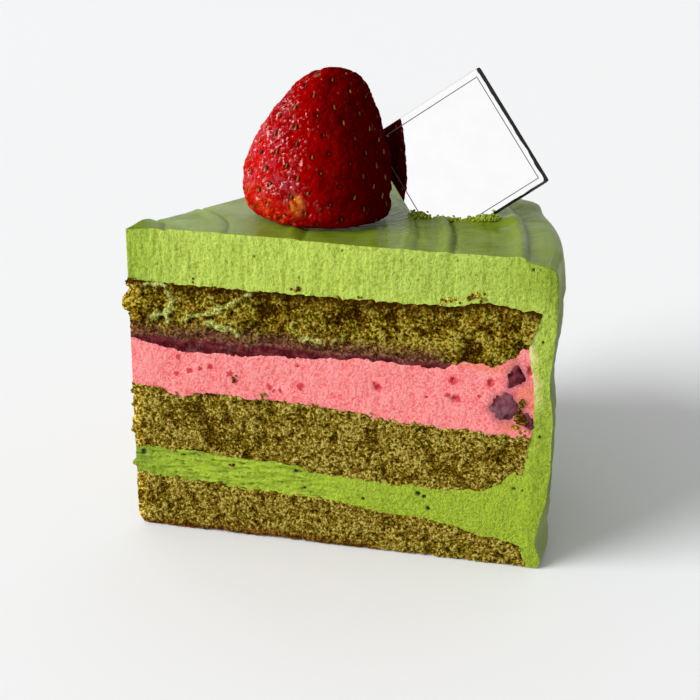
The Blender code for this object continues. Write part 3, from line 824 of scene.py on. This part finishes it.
def makeCreamCoat():
    spacing, edge = coatValues["spacing"], coatValues["topEnds"]
    near = math.radians(0.35)
    between = np.linspace(0, sliceAngle, coatValues["angleSteps"])[1:-1]
    angles = np.concatenate([[0.0, near], between, [sliceAngle - near, sliceAngle]])
    turn = angles[:, None]
    along = stepsBetween(0.05, edge, spacing)[None, :] + 0 * turn
    innerTop = np.stack([along, seamHeight("cream", along, turn)], axis=-1)
    outerTop = np.stack([along, creamTop(along, turn)], axis=-1)

    # round the corner, and down the rim
    cornerZ = seamHeight("cream", np.full(turn.shape, 77.5), turn)
    share = np.linspace(0.0, 1.0, 8)[None, 1:-1]
    innerTurn = np.stack([edge + 0.3 * share + 0 * turn, cornerZ + 0 * share], axis=-1)
    arc = share * math.pi / 2 * 0.8
    outerTurn = np.stack([edge + (2.3 + 0.9 * rimLip(turn)) * np.sin(arc),
                          creamTop(np.full(turn.shape, edge), turn) - 1.5 * (1 - np.cos(arc))], axis=-1)
    down = np.linspace(1.0, 0.0, int(52 / spacing))[None, :]
    z = cornerZ * down
    innerDown = np.stack([innerWall(z), z], axis=-1)
    outZ = z + coatValues["rimSpread"] * (z / cornerZ) ** 7 - 0.9 * (z / cornerZ) ** 20
    smear = np.vectorize(lambda a, h: noise.noise(Vector((a * 6, h / coatValues["smearSpacing"], 4.2))),
                         otypes=[float])(np.broadcast_to(turn, outZ.shape), outZ)
    knife = spotsAt(turn * 80 + outZ * 0.35, outZ, 1.0)
    behind = smoothStep(0.0, math.radians(6), turn)
    foot = behind * (0.3 + 1.4 * bump(outZ, 6.0, 6.0) + 0.5 * smoothStep(36.0, 56.0, outZ))
    foot = foot + (rimLip(turn) - behind) * 0.9 * smoothStep(52.0, 58.0, outZ)
    outerR = (outerWall(outZ) + coatValues["smearDepth"] * smear + foot
              + 0.20 * softNoise(knife, (6.0, 1.8, 1.0), 94) + 0.08 * softNoise(knife, (2.5, 0.8, 1.0), 95))
    outerDown = np.stack([outerR, outZ], axis=-1)
    inner = np.concatenate([innerTop, innerTurn, innerDown], axis=1)
    outer = np.concatenate([outerTop, outerTurn, outerDown], axis=1)

    through = stepsBetween(0, 1, spacing / 10.0)
    section = inner[:, :, None, :] + (outer - inner)[:, :, None, :] * through[None, None, :, None]
    r, z = section[..., 0], section[..., 1]
    turn = angles[:, None, None]
    grid = np.stack([r * np.cos(turn), r * np.sin(turn), z], axis=-1)
    relief = {}
    crumb, blend, onTop = np.full(z.shape, 0.5), np.zeros(z.shape), np.zeros(z.shape)
    for side in (0, -1):
        spots = cutCoordinates(r[side], z[side], side)
        thick = np.hypot(*(np.moveaxis(outer[side] - inner[side], -1, 0)))[:, None]
        relief[side], found = creamRelief(spots, thick * through, thick * (1 - through))
        crumb[side] = found["crumb"]
        if side == 0:
            # what was dragged off the mousse and the sponge lies along the inside of the wall
            ragged = softNoise(spots, 1.6, 175) + 0.8 * softNoise(spots, 0.7, 176)
            inside = smoothStep(1.7, 0.1, thick * through + 0.8 * ragged) * smoothStep(74.0, 76.0, r[side])
            blend[side] = inside * smoothStep(31.0, 37.0, z[side]) * smoothStep(49.0, 45.0, z[side])
    pushCuts(grid, relief)
    onTop[1:-1, :, -1] = 1.0
    material = whippedMaterial("matchaCream", {**creamLook, "skinRoughness": (0.54, 0.16)}, creamPatches)
    makeBlock(coatValues["name"], grid, material, "cream_coat",
              {"crumb": crumb, "skin": onTop, "high": z, "alongCut": r, "blend": blend,
               "way": r + np.maximum(60.5 - z, 0), "turned": 60.0 * turn + 0 * z})


# The strawberry

berryValues = {"place": (32.2, 16.0, 61.4), "depth": 0.82, "rings": 250, "sides": 380, "seeds": 150,
               "seedBand": (6.0, 43.5), "seedSize": (0.21, 0.54, 0.18), "dimpleSize": 0.62,
               "dimpleDepth": 0.36}

# the outline from the middle of the base to the tip, as (radius, height)
berryOutline = np.array([(0, 0), (6, 0), (10.2, 0.05), (11.4, 0.35), (12.3, 1.0), (13.0, 2.0), (13.6, 3.5),
                         (13.95, 5.2), (14.05, 6.8), (13.95, 8.4), (13.6, 10.2), (12.9, 12.6), (12.0, 15.0),
                         (10.95, 17.5), (9.8, 20.0), (8.5, 22.2), (7.1, 24.2), (6.1, 25.3), (4.9, 26.3),
                         (3.6, 27.1), (2.3, 27.6), (1.1, 27.9), (0, 28.0)], dtype=float)
outlineLength = np.concatenate([[0], np.cumsum(np.hypot(*np.diff(berryOutline, axis=0).T))])
outlineRadius = curveThrough(np.column_stack([outlineLength, berryOutline[:, 0]]))
outlineHeight = curveThrough(np.column_stack([outlineLength, berryOutline[:, 1]]))


def berryPoints(along, turn):
    # along is the way from the middle of the base, in millimetres
    radius, z = outlineRadius(along), outlineHeight(along)
    facing = np.clip(np.cos(turn + 0.25), 0, 1) ** 0.7
    foot = 1.6 * smoothStep(4.8, 0.6, z) * smoothStep(2.0, 10.0, radius) * facing
    radius = radius + foot
    lean = 0.02 * z + 0.0026 * z * z + 1.1 * smoothStep(13.0, 28.0, z)
    return np.stack([radius * np.cos(turn) + lean, radius * np.sin(turn) * berryValues["depth"], z], axis=-1)


def placeSeeds(draw):
    # a golden-angle spiral that gives each seed the same area of skin
    low, high = berryValues["seedBand"]
    along = np.linspace(low, high, 400)
    area = np.cumsum(outlineRadius(along))
    shares = (np.arange(berryValues["seeds"]) + 0.5) / berryValues["seeds"]
    spots = np.interp(shares, area / area[-1], along) + draw.normal(0, 0.35, berryValues["seeds"])
    turn = np.arange(berryValues["seeds"]) * math.pi * (3 - math.sqrt(5)) + draw.normal(0, 0.04, len(spots))
    return np.clip(spots, low, high), turn


def berryMaterial():
    # painted light and shade: bright orange-red low on the lit side, deep red on the side away from the
    # light, near black round the back, deeper towards the tip
    material, tree = newMaterial("strawberrySkin", 0.5, 0.0, coatRoughness=0.11, scatter=0.12,
                                 scatterRadius=(2.2, 0.2, 0.1))
    shadedRipeness, height = note(tree, "shadedRipe"), note(tree, "high")
    shadedRipe = shadedRipeness + (grain(tree, 4.0, 3.0) - 0.5) * 0.5
    colour = mix(shadedRipe.rise(0.45, 0.95), (0.255, 0.0002, 0.0002), (0.074, 0.0001, 0.0001))
    colour = mix(shadedRipe.rise(0.42, 0.05), colour, (0.400, 0.0040, 0.0014))
    colour = mix(shadedRipe.rise(1.05, 1.25), colour, (0.024, 0.0002, 0.0001))
    # painted sheen in small patches on the lit side: bluish-pink up high and yellow-orange low down
    paintedSheen = grain(tree, 1.5, stretch=(1, 1, 1.6)).rise(0.54, 0.64) * shadedRipeness.rise(0.45, 0.20)
    high = height.rise(5.0, 9.0)
    colour = mix(paintedSheen * high * 0.65, colour, (0.400, 0.022, 0.060))
    colour = mix(paintedSheen * (1.0 - high) * 0.7, colour, (0.62, 0.060, 0.006))
    # painted shade in the dimples round the seeds
    colour = mix(note(tree, "dimple").rise(0.15, 0.8, 0.0, 0.85), colour, (0.045, 0.0005, 0.0003))
    yellowed = mix(grain(tree, 1.2).rise(0.4, 0.6), (0.40, 0.040, 0.002), (0.50, 0.170, 0.012))
    colour = mix(note(tree, "bruise").rise(0.3, 0.8, 0.0, 0.85), colour, yellowed)
    colour = mix(note(tree, "pale").rise(0.35, 0.8, 0.0, 0.6), colour, (0.30, 0.27, 0.16))
    share = shadedRipeness.rise(0.85, 0.30, -0.14, 0.09) + height.rise(8.0, 20.0, 0.0, 0.05)
    glints, = fromGroup(tree, wetGlints, {"Share": share})
    finishLook(tree, colour, grain(tree, 0.6, 3.0), 0.8, 0.3, coat=glints)
    return material


def seedMaterial():
    material, tree = newMaterial("seedShell", 0.45, 0.12)
    colour = mix(grain(tree, 2.5, 1.0).rise(0.35, 0.65), (0.085, 0.021, 0.001), (0.275, 0.112, 0.006))
    finishLook(tree, colour, grain(tree, 0.3), 0.3, 0.1)
    return material


def makeStrawberry():
    values = berryValues
    draw = np.random.default_rng(7)
    seedSpots, seedTurn = placeSeeds(draw)
    seedPlaces = berryPoints(seedSpots, seedTurn)
    # rings of points from the base up, closed by one point at each end
    along = np.linspace(0, outlineLength[-1], values["rings"])[1:-1]
    turn = np.linspace(0, 2 * math.pi, values["sides"], endpoint=False)
    skin = berryPoints(*np.meshgrid(along, turn, indexing="ij"))
    later = berryPoints(*np.meshgrid(along + 0.05, turn, indexing="ij"))
    aside = berryPoints(*np.meshgrid(along, turn + 0.01, indexing="ij"))
    outward = np.cross(aside - skin, later - skin)
    outward /= np.linalg.norm(outward, axis=-1, keepdims=True)
    flat = skin.reshape(-1, 3)
    tree = KDTree(len(seedPlaces))
    for number, spot in enumerate(seedPlaces):
        tree.insert(Vector(spot), number)
    tree.balance()
    nearest = np.array([tree.find(Vector(point))[2] for point in flat]).reshape(skin.shape[:2])
    dimple = np.exp(-(nearest / values["dimpleSize"]) ** 2)
    # creases run unevenly over the skin, closest together on the lit side
    warp = skin + 0.7 * np.stack([softNoise(skin, 1.6, seed) for seed in (105, 106, 107)], axis=-1)
    near, second, _ = cellNoise(warp, (1.5, 1.5, 2.1), 108)
    crease = smoothStep(0.16, 0.0, second - near)
    lit = smoothStep(4.0, -7.0, skin[..., 0])
    pebbles = 0.22 * (0.5 - near) - 0.26 * crease + 0.20 * softNoise(skin, 0.95, 103)
    swelling = (0.35 * softNoise(skin, 6.0, 101) + 0.12 * softNoise(skin, 1.5, 102)
                + (0.65 + 0.35 * lit) * pebbles)
    onSkin = smoothStep(9.5, 12.5, along)[:, None]
    skin = skin + outward * ((swelling - values["dimpleDepth"] * dimple) * onSkin)[..., None]
    # painted shade: the note grows away from the light towards +x, round the back towards +y, and a little
    # towards the tip
    shadedRipe = np.clip(0.5 + 0.045 * skin[..., 0] + 0.010 * (skin[..., 2] - 12.0)
                   + 0.4 * smoothStep(0.0, 9.0, skin[..., 1]), 0, 1.4)

    def patch(centre, size):
        return np.exp(-np.linalg.norm((skin - np.array(centre)) / np.array(size), axis=-1) ** 2)

    bruise = patch((-0.7, -11.4, 4.6), (1.7, 3.0, 3.2)) * (0.8 + 0.5 * softNoise(skin, 1.4, 104))
    pale = patch((0.4, -2.6, 27.4), (1.3, 1.6, 0.9))
    ends = [berryPoints(0.0, 0.0), berryPoints(outlineLength[-1], 0.0)]
    points = np.concatenate([skin.reshape(-1, 3), ends]) + np.array(values["place"])
    notes = {"dimple": dimple, "shadedRipe": shadedRipe, "bruise": bruise, "pale": pale, "high": skin[..., 2]}
    for label, numbers in notes.items():
        notes[label] = np.concatenate([numbers.ravel(), numbers[[0, -1], 0]])
    makePiece("strawberry_skin", points, ringFaces(len(along), values["sides"]), berryMaterial(),
              ("strawberry",), notes)
    makeSeeds(seedSpots, seedTurn, draw)


def makeSeeds(seedSpots, seedTurn, draw):
    # narrow shells lying in their dimples, pointing to the tip
    values = berryValues
    ball, shellFaces = icosphere(2)
    ball[:, 0] *= 1 - 0.35 * ball[:, 1]
    here = berryPoints(seedSpots, seedTurn)
    along = berryPoints(seedSpots + 0.05, seedTurn) - here
    across = berryPoints(seedSpots, seedTurn + 0.01) - here
    points, faces = [], []
    for number in range(len(seedSpots)):
        side = across[number] / np.linalg.norm(across[number])
        out = np.cross(side, along[number] / np.linalg.norm(along[number]))
        up = np.cross(out, side)
        size = np.array(values["seedSize"]) * draw.uniform(0.75, 1.2)
        spin = draw.normal(0, 0.2)
        side, up = side * math.cos(spin) + up * math.sin(spin), up * math.cos(spin) - side * math.sin(spin)
        local = ball * size
        spot = here[number] - out * (values["dimpleDepth"] - 0.06)
        points.append(spot + local[:, :1] * side + local[:, 1:2] * up + local[:, 2:3] * out)
        faces.append(shellFaces + number * len(ball))
    makePiece("strawberry_seeds", np.concatenate(points) + np.array(values["place"]), np.concatenate(faces),
              seedMaterial())


# The tag card

cardValues = {"side": 25.4, "thickness": 1.0, "centre": (57.5, 24.9, 71.3), "turn": 36.8, "lean": 21.0,
              "yaw": -2.0, "borderInset": 1.35, "borderWidth": 0.17, "darkEdge": 0.68}


def cardMatrix():
    turned = (Matrix.Rotation(math.radians(cardValues["yaw"]), 4, "Z")
              @ Matrix.Rotation(-math.radians(cardValues["lean"]), 4, "X")
              @ Matrix.Rotation(-math.radians(cardValues["turn"]), 4, "Y"))
    return Matrix.Translation(Vector(cardValues["centre"])) @ turned


def onCard(points):
    matrix = np.array(cardMatrix())
    return np.asarray(points, dtype=float) @ matrix[:3, :3].T + matrix[:3, 3]


def mirrorMaterial():
    material, tree = newMaterial("mirrorFace", 0.03, metallic=1.0)
    smudge = grain(tree, 4.0, 3.0)
    colour = mix(smudge.rise(0.3, 0.7), (0.925, 0.93, 0.925), (0.95, 0.955, 0.95))
    finishLook(tree, colour, roughness=smudge.rise(0.45, 0.8, 0.02, 0.06))
    return material


def darkEdgeMaterial():
    material, tree = newMaterial("darkEdge", 0.25, 0.5, coat=0.3)
    cut = grain(tree, 0.5, 3.0)
    colour = mix(cut.rise(0.35, 0.7), (0.004, 0.004, 0.005), (0.020, 0.019, 0.020))
    finishLook(tree, colour, cut, 0.4, 0.2)
    return material


def borderMaterial():
    material, tree = newMaterial("etchedLine", 0.6, 0.2)
    finishLook(tree, mix(grain(tree, 1.0).rise(0.3, 0.7), (0.06, 0.06, 0.06), (0.13, 0.13, 0.13)))
    return material


def makeCard():
    # the plate, in its own plane: x and z along its sides, -y out of its face
    half, thick = cardValues["side"] / 2, cardValues["thickness"] / 2
    steps, bevel, rounding = 96, 0.22, 0.5
    t = 2 * np.arange(steps) / steps
    sides = ((-1, -1, 1, 0), (1, -1, 0, 1), (1, 1, -1, 0), (-1, 1, 0, -1))
    flat = half * np.concatenate([np.stack([x + goX * t, z + goZ * t], axis=-1) for x, z, goX, goZ in sides])
    flat *= 1 - np.clip(np.abs(flat).min(axis=1) - (half - rounding), 0, 1)[:, None] * 0.016
    x, z = flat.T
    # the worn dark edge is wide along two sides, +x and its neighbours, and hardly shows on the others
    places = spotsAt(x, z, 0)
    wear = softNoise(places, 2.2, 111) + 0.5 * softNoise(places, 0.8, 112)
    rightSide, lowSide = (smoothStep(half - 0.7, half - 0.05, away) for away in (x, -z))
    worn = rightSide + 0.6 * lowSide * (1 - rightSide)
    inset = 0.10 + cardValues["darkEdge"] * worn * (0.85 + 0.3 * wear)
    rings = ((1 - inset / half, -thick), (1.0, -thick + bevel), (1.0, thick - bevel), (0.99, thick))
    points = np.concatenate([spotsAt(x * share, y, z * share) for share, y in rings])
    index = np.arange(len(points)).reshape(len(rings), len(flat))
    after = np.roll(index, -1, axis=1)
    quads = np.stack([index[:-1], index[1:], after[1:], after[:-1]], axis=-1).reshape(-1, 4)
    faces = [tuple(face) for face in quads] + [tuple(index[0]), tuple(index[-1][::-1])]
    mirror, dark = mirrorMaterial(), darkEdgeMaterial()
    card = makePiece("tag_card_plate", onCard(points), faces, dark, ("tag_card",))
    card.data.materials.append(mirror)
    for face in card.data.polygons:
        face.use_smooth = len(face.vertices) < 5
        if len(face.vertices) > 5:
            face.material_index = 1

    # a thin border line, standing a hair proud of the face
    outside = half - cardValues["borderInset"]
    inside = outside - cardValues["borderWidth"]
    front, behind = -thick - 0.02, -thick + 0.05
    corners = [(-1, -1), (1, -1), (1, 1), (-1, 1)]
    line = [(x * size, y, z * size) for y in (front, behind) for size in (outside, inside)
            for x, z in corners]
    frameFaces = []
    for i in range(4):
        j = (i + 1) % 4
        frameFaces += [(i, j, 4 + j, 4 + i), (8 + j, 8 + i, 12 + i, 12 + j), (j, i, 8 + i, 8 + j),
                       (4 + i, 4 + j, 12 + j, 12 + i)]
    makePiece("tag_border_line", onCard(line), frameFaces, borderMaterial())


# Berry pulp in the mousse, and crumbs

pulpValues = {
    "fruit_piece_upper": {
        "spot": (73.5, 38.3), "depth": 3.2, "seed": 121, "film": 0.0,
        "edge": [(73.3, 41.0), (73.9, 40.9), (74.3, 39.9), (75.1, 38.8), (75.3, 38.0), (74.7, 37.5),
                 (74.0, 37.0), (73.1, 36.6), (71.9, 35.7), (71.8, 37.4), (71.3, 38.5), (72.2, 39.7)]},
    "fruit_piece_lower": {
        "spot": (71.4, 32.5), "depth": 4.1, "seed": 122, "film": 0.8,
        "edge": [(71.7, 35.6), (73.0, 34.9), (73.5, 33.6), (74.3, 32.8), (74.5, 31.8), (73.5, 30.6),
                 (72.8, 29.9), (71.4, 29.4), (70.1, 29.8), (69.1, 30.8), (68.2, 32.2), (69.3, 33.8),
                 (70.6, 34.9)]},
    "fruit_piece_small": {
        "spot": (76.0, 29.9), "depth": 2.0, "seed": 123, "film": 0.4,
        "edge": [(75.4, 31.6), (76.4, 31.0), (77.0, 29.4), (76.9, 28.2), (75.8, 28.4), (75.0, 29.9)]},
}


def pulpMaterial():
    # dark wet flesh, with a greyish film over some of it
    material, tree = newMaterial("berryPulp", 0.3, 0.0, coatRoughness=0.15, scatter=0.2,
                                 scatterRadius=(1.2, 0.3, 0.3))
    veins = grain(tree, 0.9, 3.0, stretch=(1.0, 1.0, 1.6), roughness=0.65)
    colour = mix(grain(tree, 1.8, 3.0).rise(0.36, 0.64), (0.040, 0.003, 0.004), (0.160, 0.032, 0.045))
    colour = mix(veins.rise(0.42, 0.66, 0.15, 0.85) * note(tree, "film"), colour, (0.215, 0.100, 0.125))
    glints, = fromGroup(tree, wetGlints, {"Share": -0.05})
    finishLook(tree, colour, veins, 0.6, 0.4, coat=glints)
    return material


def pulpReach(values, turn):
    # the way from a piece's middle to its torn edge
    edge = np.array(values["edge"]) - np.array(values["spot"])
    bearing = np.arctan2(edge[:, 1], edge[:, 0])
    order = np.argsort(bearing)
    reach = np.interp(turn, bearing[order], np.hypot(*edge.T)[order], period=2 * math.pi)
    around = spotsAt(np.cos(turn), np.sin(turn), values["seed"])
    torn = 0.12 * softNoise(around, 0.45, values["seed"]) + 0.12 * softNoise(around, 0.16, values["seed"] + 5)
    return reach * (1 + torn)


def makePulp():
    # torn patches that swell a little out of the cut
    material = pulpMaterial()
    sides, rings = 120, 22
    turn = np.linspace(0, 2 * math.pi, sides, endpoint=False)[None, :]
    share = np.linspace(0, 1, rings)[1:, None]
    for node, values in pulpValues.items():
        midX, midZ = values["spot"]
        reach = pulpReach(values, turn) * share
        x, z = midX + reach * np.cos(turn), midZ + reach * np.sin(turn)
        places = spotsAt(x, 0.0, z)
        seed = values["seed"]
        uneven = 0.5 * softNoise(places, 1.3, seed + 9) + 0.3 * softNoise(places, 0.6, seed + 11)
        front = -0.10 - 0.34 * (1 - share ** 2) * (0.7 + uneven) + 0.30 * share ** 6
        back = values["depth"] * (1 - 0.3 * share[::-1] ** 2) + 0 * x
        skin = np.concatenate([
            np.stack([x, front, z], axis=-1),
            np.stack([midX + (x[::-1] - midX) * 0.8, back, midZ + (z[::-1] - midZ) * 0.8], axis=-1)])
        ends = [(midX, front[0].mean(), midZ), (midX, values["depth"], midZ)]
        points = np.concatenate([skin.reshape(-1, 3), ends])
        makePiece(node.replace("fruit_piece", "berry_pulp"), points, ringFaces(len(skin), sides), material,
                  (node,), {"film": np.full(len(points), values["film"])})


def crumbShape(ball, size, seed):
    # one torn crumb
    rough = 1 + 0.35 * softNoise(ball + seed * 3.7, 0.8, 131) + 0.2 * softNoise(ball + seed * 3.7, 0.35, 132)
    return ball * rough[:, None] * size


def gatherCrumbs(name, spots, material, subdivisions=3, crust=9.0):
    # spots are (place, (size x, y, z), seed); crust is how deep under the crust they came from
    ball, faces = icosphere(subdivisions)
    points, allFaces = [], []
    for number, (spot, size, seed) in enumerate(spots):
        points.append(crumbShape(ball, np.array(size), seed) + np.array(spot))
        allFaces.append(faces + number * len(ball))
    points = np.concatenate(points)
    fine = np.clip(0.50 + 0.35 * softNoise(points, 0.4, 133), 0, 1)
    own = np.clip(0.4 + 0.4 * softNoise(points, 1.5, 134), 0, 1)
    far = np.full(len(points), 9.0)
    notes = {"crumb": fine, "tint": own, "belowTop": far * 0 + crust, "aboveBase": far, "alongCut": far * 0}
    return makePiece(name, points, np.concatenate(allFaces), material, values=notes)


def makeLooseCrumbs(material):
    # single crumbs caught on the cream or standing out at the tip, and torn bits of browned crust
    draw = np.random.default_rng(23)

    def scatter(groups):
        spots = []
        for places, number, sizes, spread, depth in groups:
            for x, z in places:
                for _ in range(number):
                    size = draw.uniform(*sizes)
                    place = (x + draw.normal(0, spread), depth, z + draw.normal(0, spread))
                    spots.append((place, (size, size * 0.7, size), draw.uniform(0, 99)))
        return spots

    light = scatter([
        ([(32.2, 51.4), (44.2, 51.4), (61.8, 52.1), (40.5, 50.9), (26.0, 30.2), (12.5, 51.5), (47.0, 28.6),
          (9.0, 28.4), (55.0, 27.6), (36.0, 29.2)], 3, (0.14, 0.32), 0.30, -0.10),
        ([(65.6, 53.2), (66.6, 53.0), (59.4, 51.9), (60.4, 52.1), (74.9, 27.8), (73.9, 28.6)], 5,
         (0.16, 0.34), 0.34, -0.12),
        ([(-0.6, 46.7), (-0.4, 46.1), (-0.2, 45.5)], 5, (0.45, 0.75), 0.25, 0.1),
        ([(0.0, 50.2), (0.2, 48.6), (0.2, 43.9), (0.1, 22.0), (0.1, 20.3), (0.3, 25.4), (-0.1, 13.1),
          (0.3, 28.0)], 3, (0.25, 0.5), 0.3, 0.1)])
    gatherCrumbs("caught_sponge_crumbs", light, material)
    brown = scatter([
        ([(74.4, 31.2), (75.0, 30.5), (75.3, 29.8), (74.5, 29.8), (73.9, 30.4), (74.6, 33.3)], 7,
         (0.2, 0.42), 0.28, -0.30),
        ([(64.4, 52.9), (64.9, 53.3), (19.6, 14.75), (32.9, 52.0), (20.4, 32.8), (11.0, 41.0)], 5,
         (0.16, 0.34), 0.26, -0.12)])
    gatherCrumbs("browned_crust_crumbs", brown, material, crust=0.6)


def makeRidgeAtCard():
    # crumbly cream pushed up where the card was set in
    draw = np.random.default_rng(29)
    yaw = math.radians(cardValues["yaw"])
    across = np.array([math.cos(yaw), math.sin(yaw), 0])
    slope = math.tan(math.radians(cardValues["lean"]))
    spots = []
    # (from, to, how many, largest crumb, how high, how far forward), along the card's foot
    for start, end, number, largest, tall, deep in (
            (-8.2, -4.0, 320, 0.33, 0.45, 0.75), (-8.8, -6.6, 70, 0.40, 0.20, 1.1),
            (-3.4, 2.5, 260, 0.28, 0.24, 0.5), (2.5, 9.2, 460, 0.29, 0.36, 0.65),
            (4.5, 8.6, 70, 0.34, 0.4, 0.6)):
        for _ in range(number):
            t = draw.uniform(start, end)
            ends = min(1.0, 0.35 + min(t - start, end - t) / 1.2)
            height = 61.0 + 0.7 * smoothStep(2.0, 8.0, t) + abs(draw.normal(0, tall)) * ends
            middle = np.array(cardValues["centre"]) + across * t
            y = middle[1] - (middle[2] - height) * slope - 0.45 - abs(draw.normal(0, deep)) * ends
            size = draw.uniform(0.12, largest)
            spots.append(((middle[0], y, height - 0.15), (size, size * 0.8, size * 0.7), draw.uniform(0, 99)))
    look = whippedMaterial("pushedCream", {
        "roughness": 0.6, "specular": 0.1, "scatter": 0.3, "scatterRadius": (0.8, 1.0, 0.3),
        "scatterScale": 0.6, "bubbles": 0.8, "streaks": 0.1, "bump": 0.6,
        "shade": (0.140, 0.195, 0.006), "light": (0.430, 0.540, 0.060)})
    gatherCrumbs("pushed_cream_at_tag", spots, look, subdivisions=2)


# Floor, light and camera

stageValues = {"floorColour": (0.838, 0.846, 0.852), "skyLow": 0.268, "skyBack": 0.39, "skyLeft": 0.225,
               "sunStrength": 3.96, "sunAngle": 44.0, "sunFrom": (-0.739, -0.498, 0.454),
               "frontStrength": 0.58, "frontSize": 0.55, "glintStrength": 0.4, "glintSize": 0.28}
cameraValues = {"place": (98.16, -253.44, 144.16), "yaw": -12.36, "pitch": 21.72, "roll": 0.58, "lens": 78.2}


def makeStage():
    scene = bpy.context.scene
    scene.view_settings.view_transform = "Standard"
    builder = bmesh.new()
    bmesh.ops.create_grid(builder, x_segments=8, y_segments=8, size=6.0)
    mesh = bpy.data.meshes.new("studioFloor")
    builder.to_mesh(mesh)
    builder.free()
    material, tree = newMaterial("paleFloor", 0.9, 0.1)
    pale = stageValues["floorColour"]
    finishLook(tree, mix(grain(tree, 400.0, 1.0), [c * 0.995 for c in pale], [c * 1.005 for c in pale]))
    mesh.materials.append(material)
    floor = bpy.data.objects.new("studioFloor", mesh)
    floor.location.z = -0.0002
    scene.collection.objects.link(floor)

    world = bpy.data.worlds.new("softRoom")
    world.use_nodes = True
    tree = world.node_tree
    sky = tree.nodes["Background"]
    facing = use(tree, "ShaderNodeTexCoord", "Generated")
    towards = addNode(tree, "ShaderNodeSeparateXYZ", {0: facing}).outputs
    low = stageValues["skyLow"]
    strength = (Signal(tree, towards["Y"]).rise(-0.2, 0.9, 0.0, stageValues["skyBack"])
                + Signal(tree, towards["X"]).rise(0.5, -0.7, low, low + stageValues["skyLeft"]))
    tree.links.new(strength.socket, sky.inputs["Strength"])
    sky.inputs["Color"].default_value = (1.0, 1.0, 1.0, 1.0)
    scene.world = world

    sun = bpy.data.lights.new("windowLight", "SUN")
    sun.energy = stageValues["sunStrength"]
    sun.angle = math.radians(stageValues["sunAngle"])
    window = bpy.data.objects.new("windowLight", sun)
    window.rotation_euler = Vector(stageValues["sunFrom"]).to_track_quat("Z", "Y").to_euler()
    scene.collection.objects.link(window)

    # one box in front that the card mirrors, and one behind on the left for small glints
    for label, towards in (("front", (-0.2, -0.873, 0.451)), ("glint", (-0.55, 0.52, 0.65))):
        box = bpy.data.lights.new(label + "Box", "AREA")
        box.size = stageValues[label + "Size"]
        box.energy = stageValues[label + "Strength"]
        holder = bpy.data.objects.new(label + "Box", box)
        towards = Vector(towards)
        holder.location = Vector(toWorld(cardValues["centre"])) + towards * 1.3
        holder.rotation_euler = towards.to_track_quat("Z", "Y").to_euler()
        scene.collection.objects.link(holder)


def makeCamera():
    yaw, pitch, roll = (math.radians(cameraValues[label]) for label in ("yaw", "pitch", "roll"))
    forward = Vector((math.sin(yaw) * math.cos(pitch), math.cos(yaw) * math.cos(pitch), -math.sin(pitch)))
    level = Vector((math.cos(yaw), -math.sin(yaw), 0))
    upright = level.cross(forward)
    right = level * math.cos(roll) + upright * math.sin(roll)
    up = upright * math.cos(roll) - level * math.sin(roll)
    camera = bpy.data.objects.new("photoCamera", bpy.data.cameras.new("photoCamera"))
    camera.data.lens = cameraValues["lens"]
    camera.data.sensor_width = 36.0
    camera.data.clip_start = 0.01
    turned = Matrix((right, up, -forward)).transposed().to_4x4()
    camera.matrix_world = Matrix.Translation(Vector(toWorld(cameraValues["place"]))) @ turned
    bpy.context.scene.collection.objects.link(camera)
    bpy.context.scene.camera = camera


makeStage()
makeCamera()
print("stage and camera are ready")
makeSponges()
print("sponges are ready")
makeSoftLayers()
print("filling, mousse and jam are ready")
makeCreamCoat()
print("cream coat is ready")
makeStrawberry()
print("strawberry is ready")
makeCard()
print("tag card is ready")
makePulp()
makeLooseCrumbs(bpy.data.materials["matchaSpongeTop"])
makeRidgeAtCard()
print("pulp, smears and crumbs are ready")
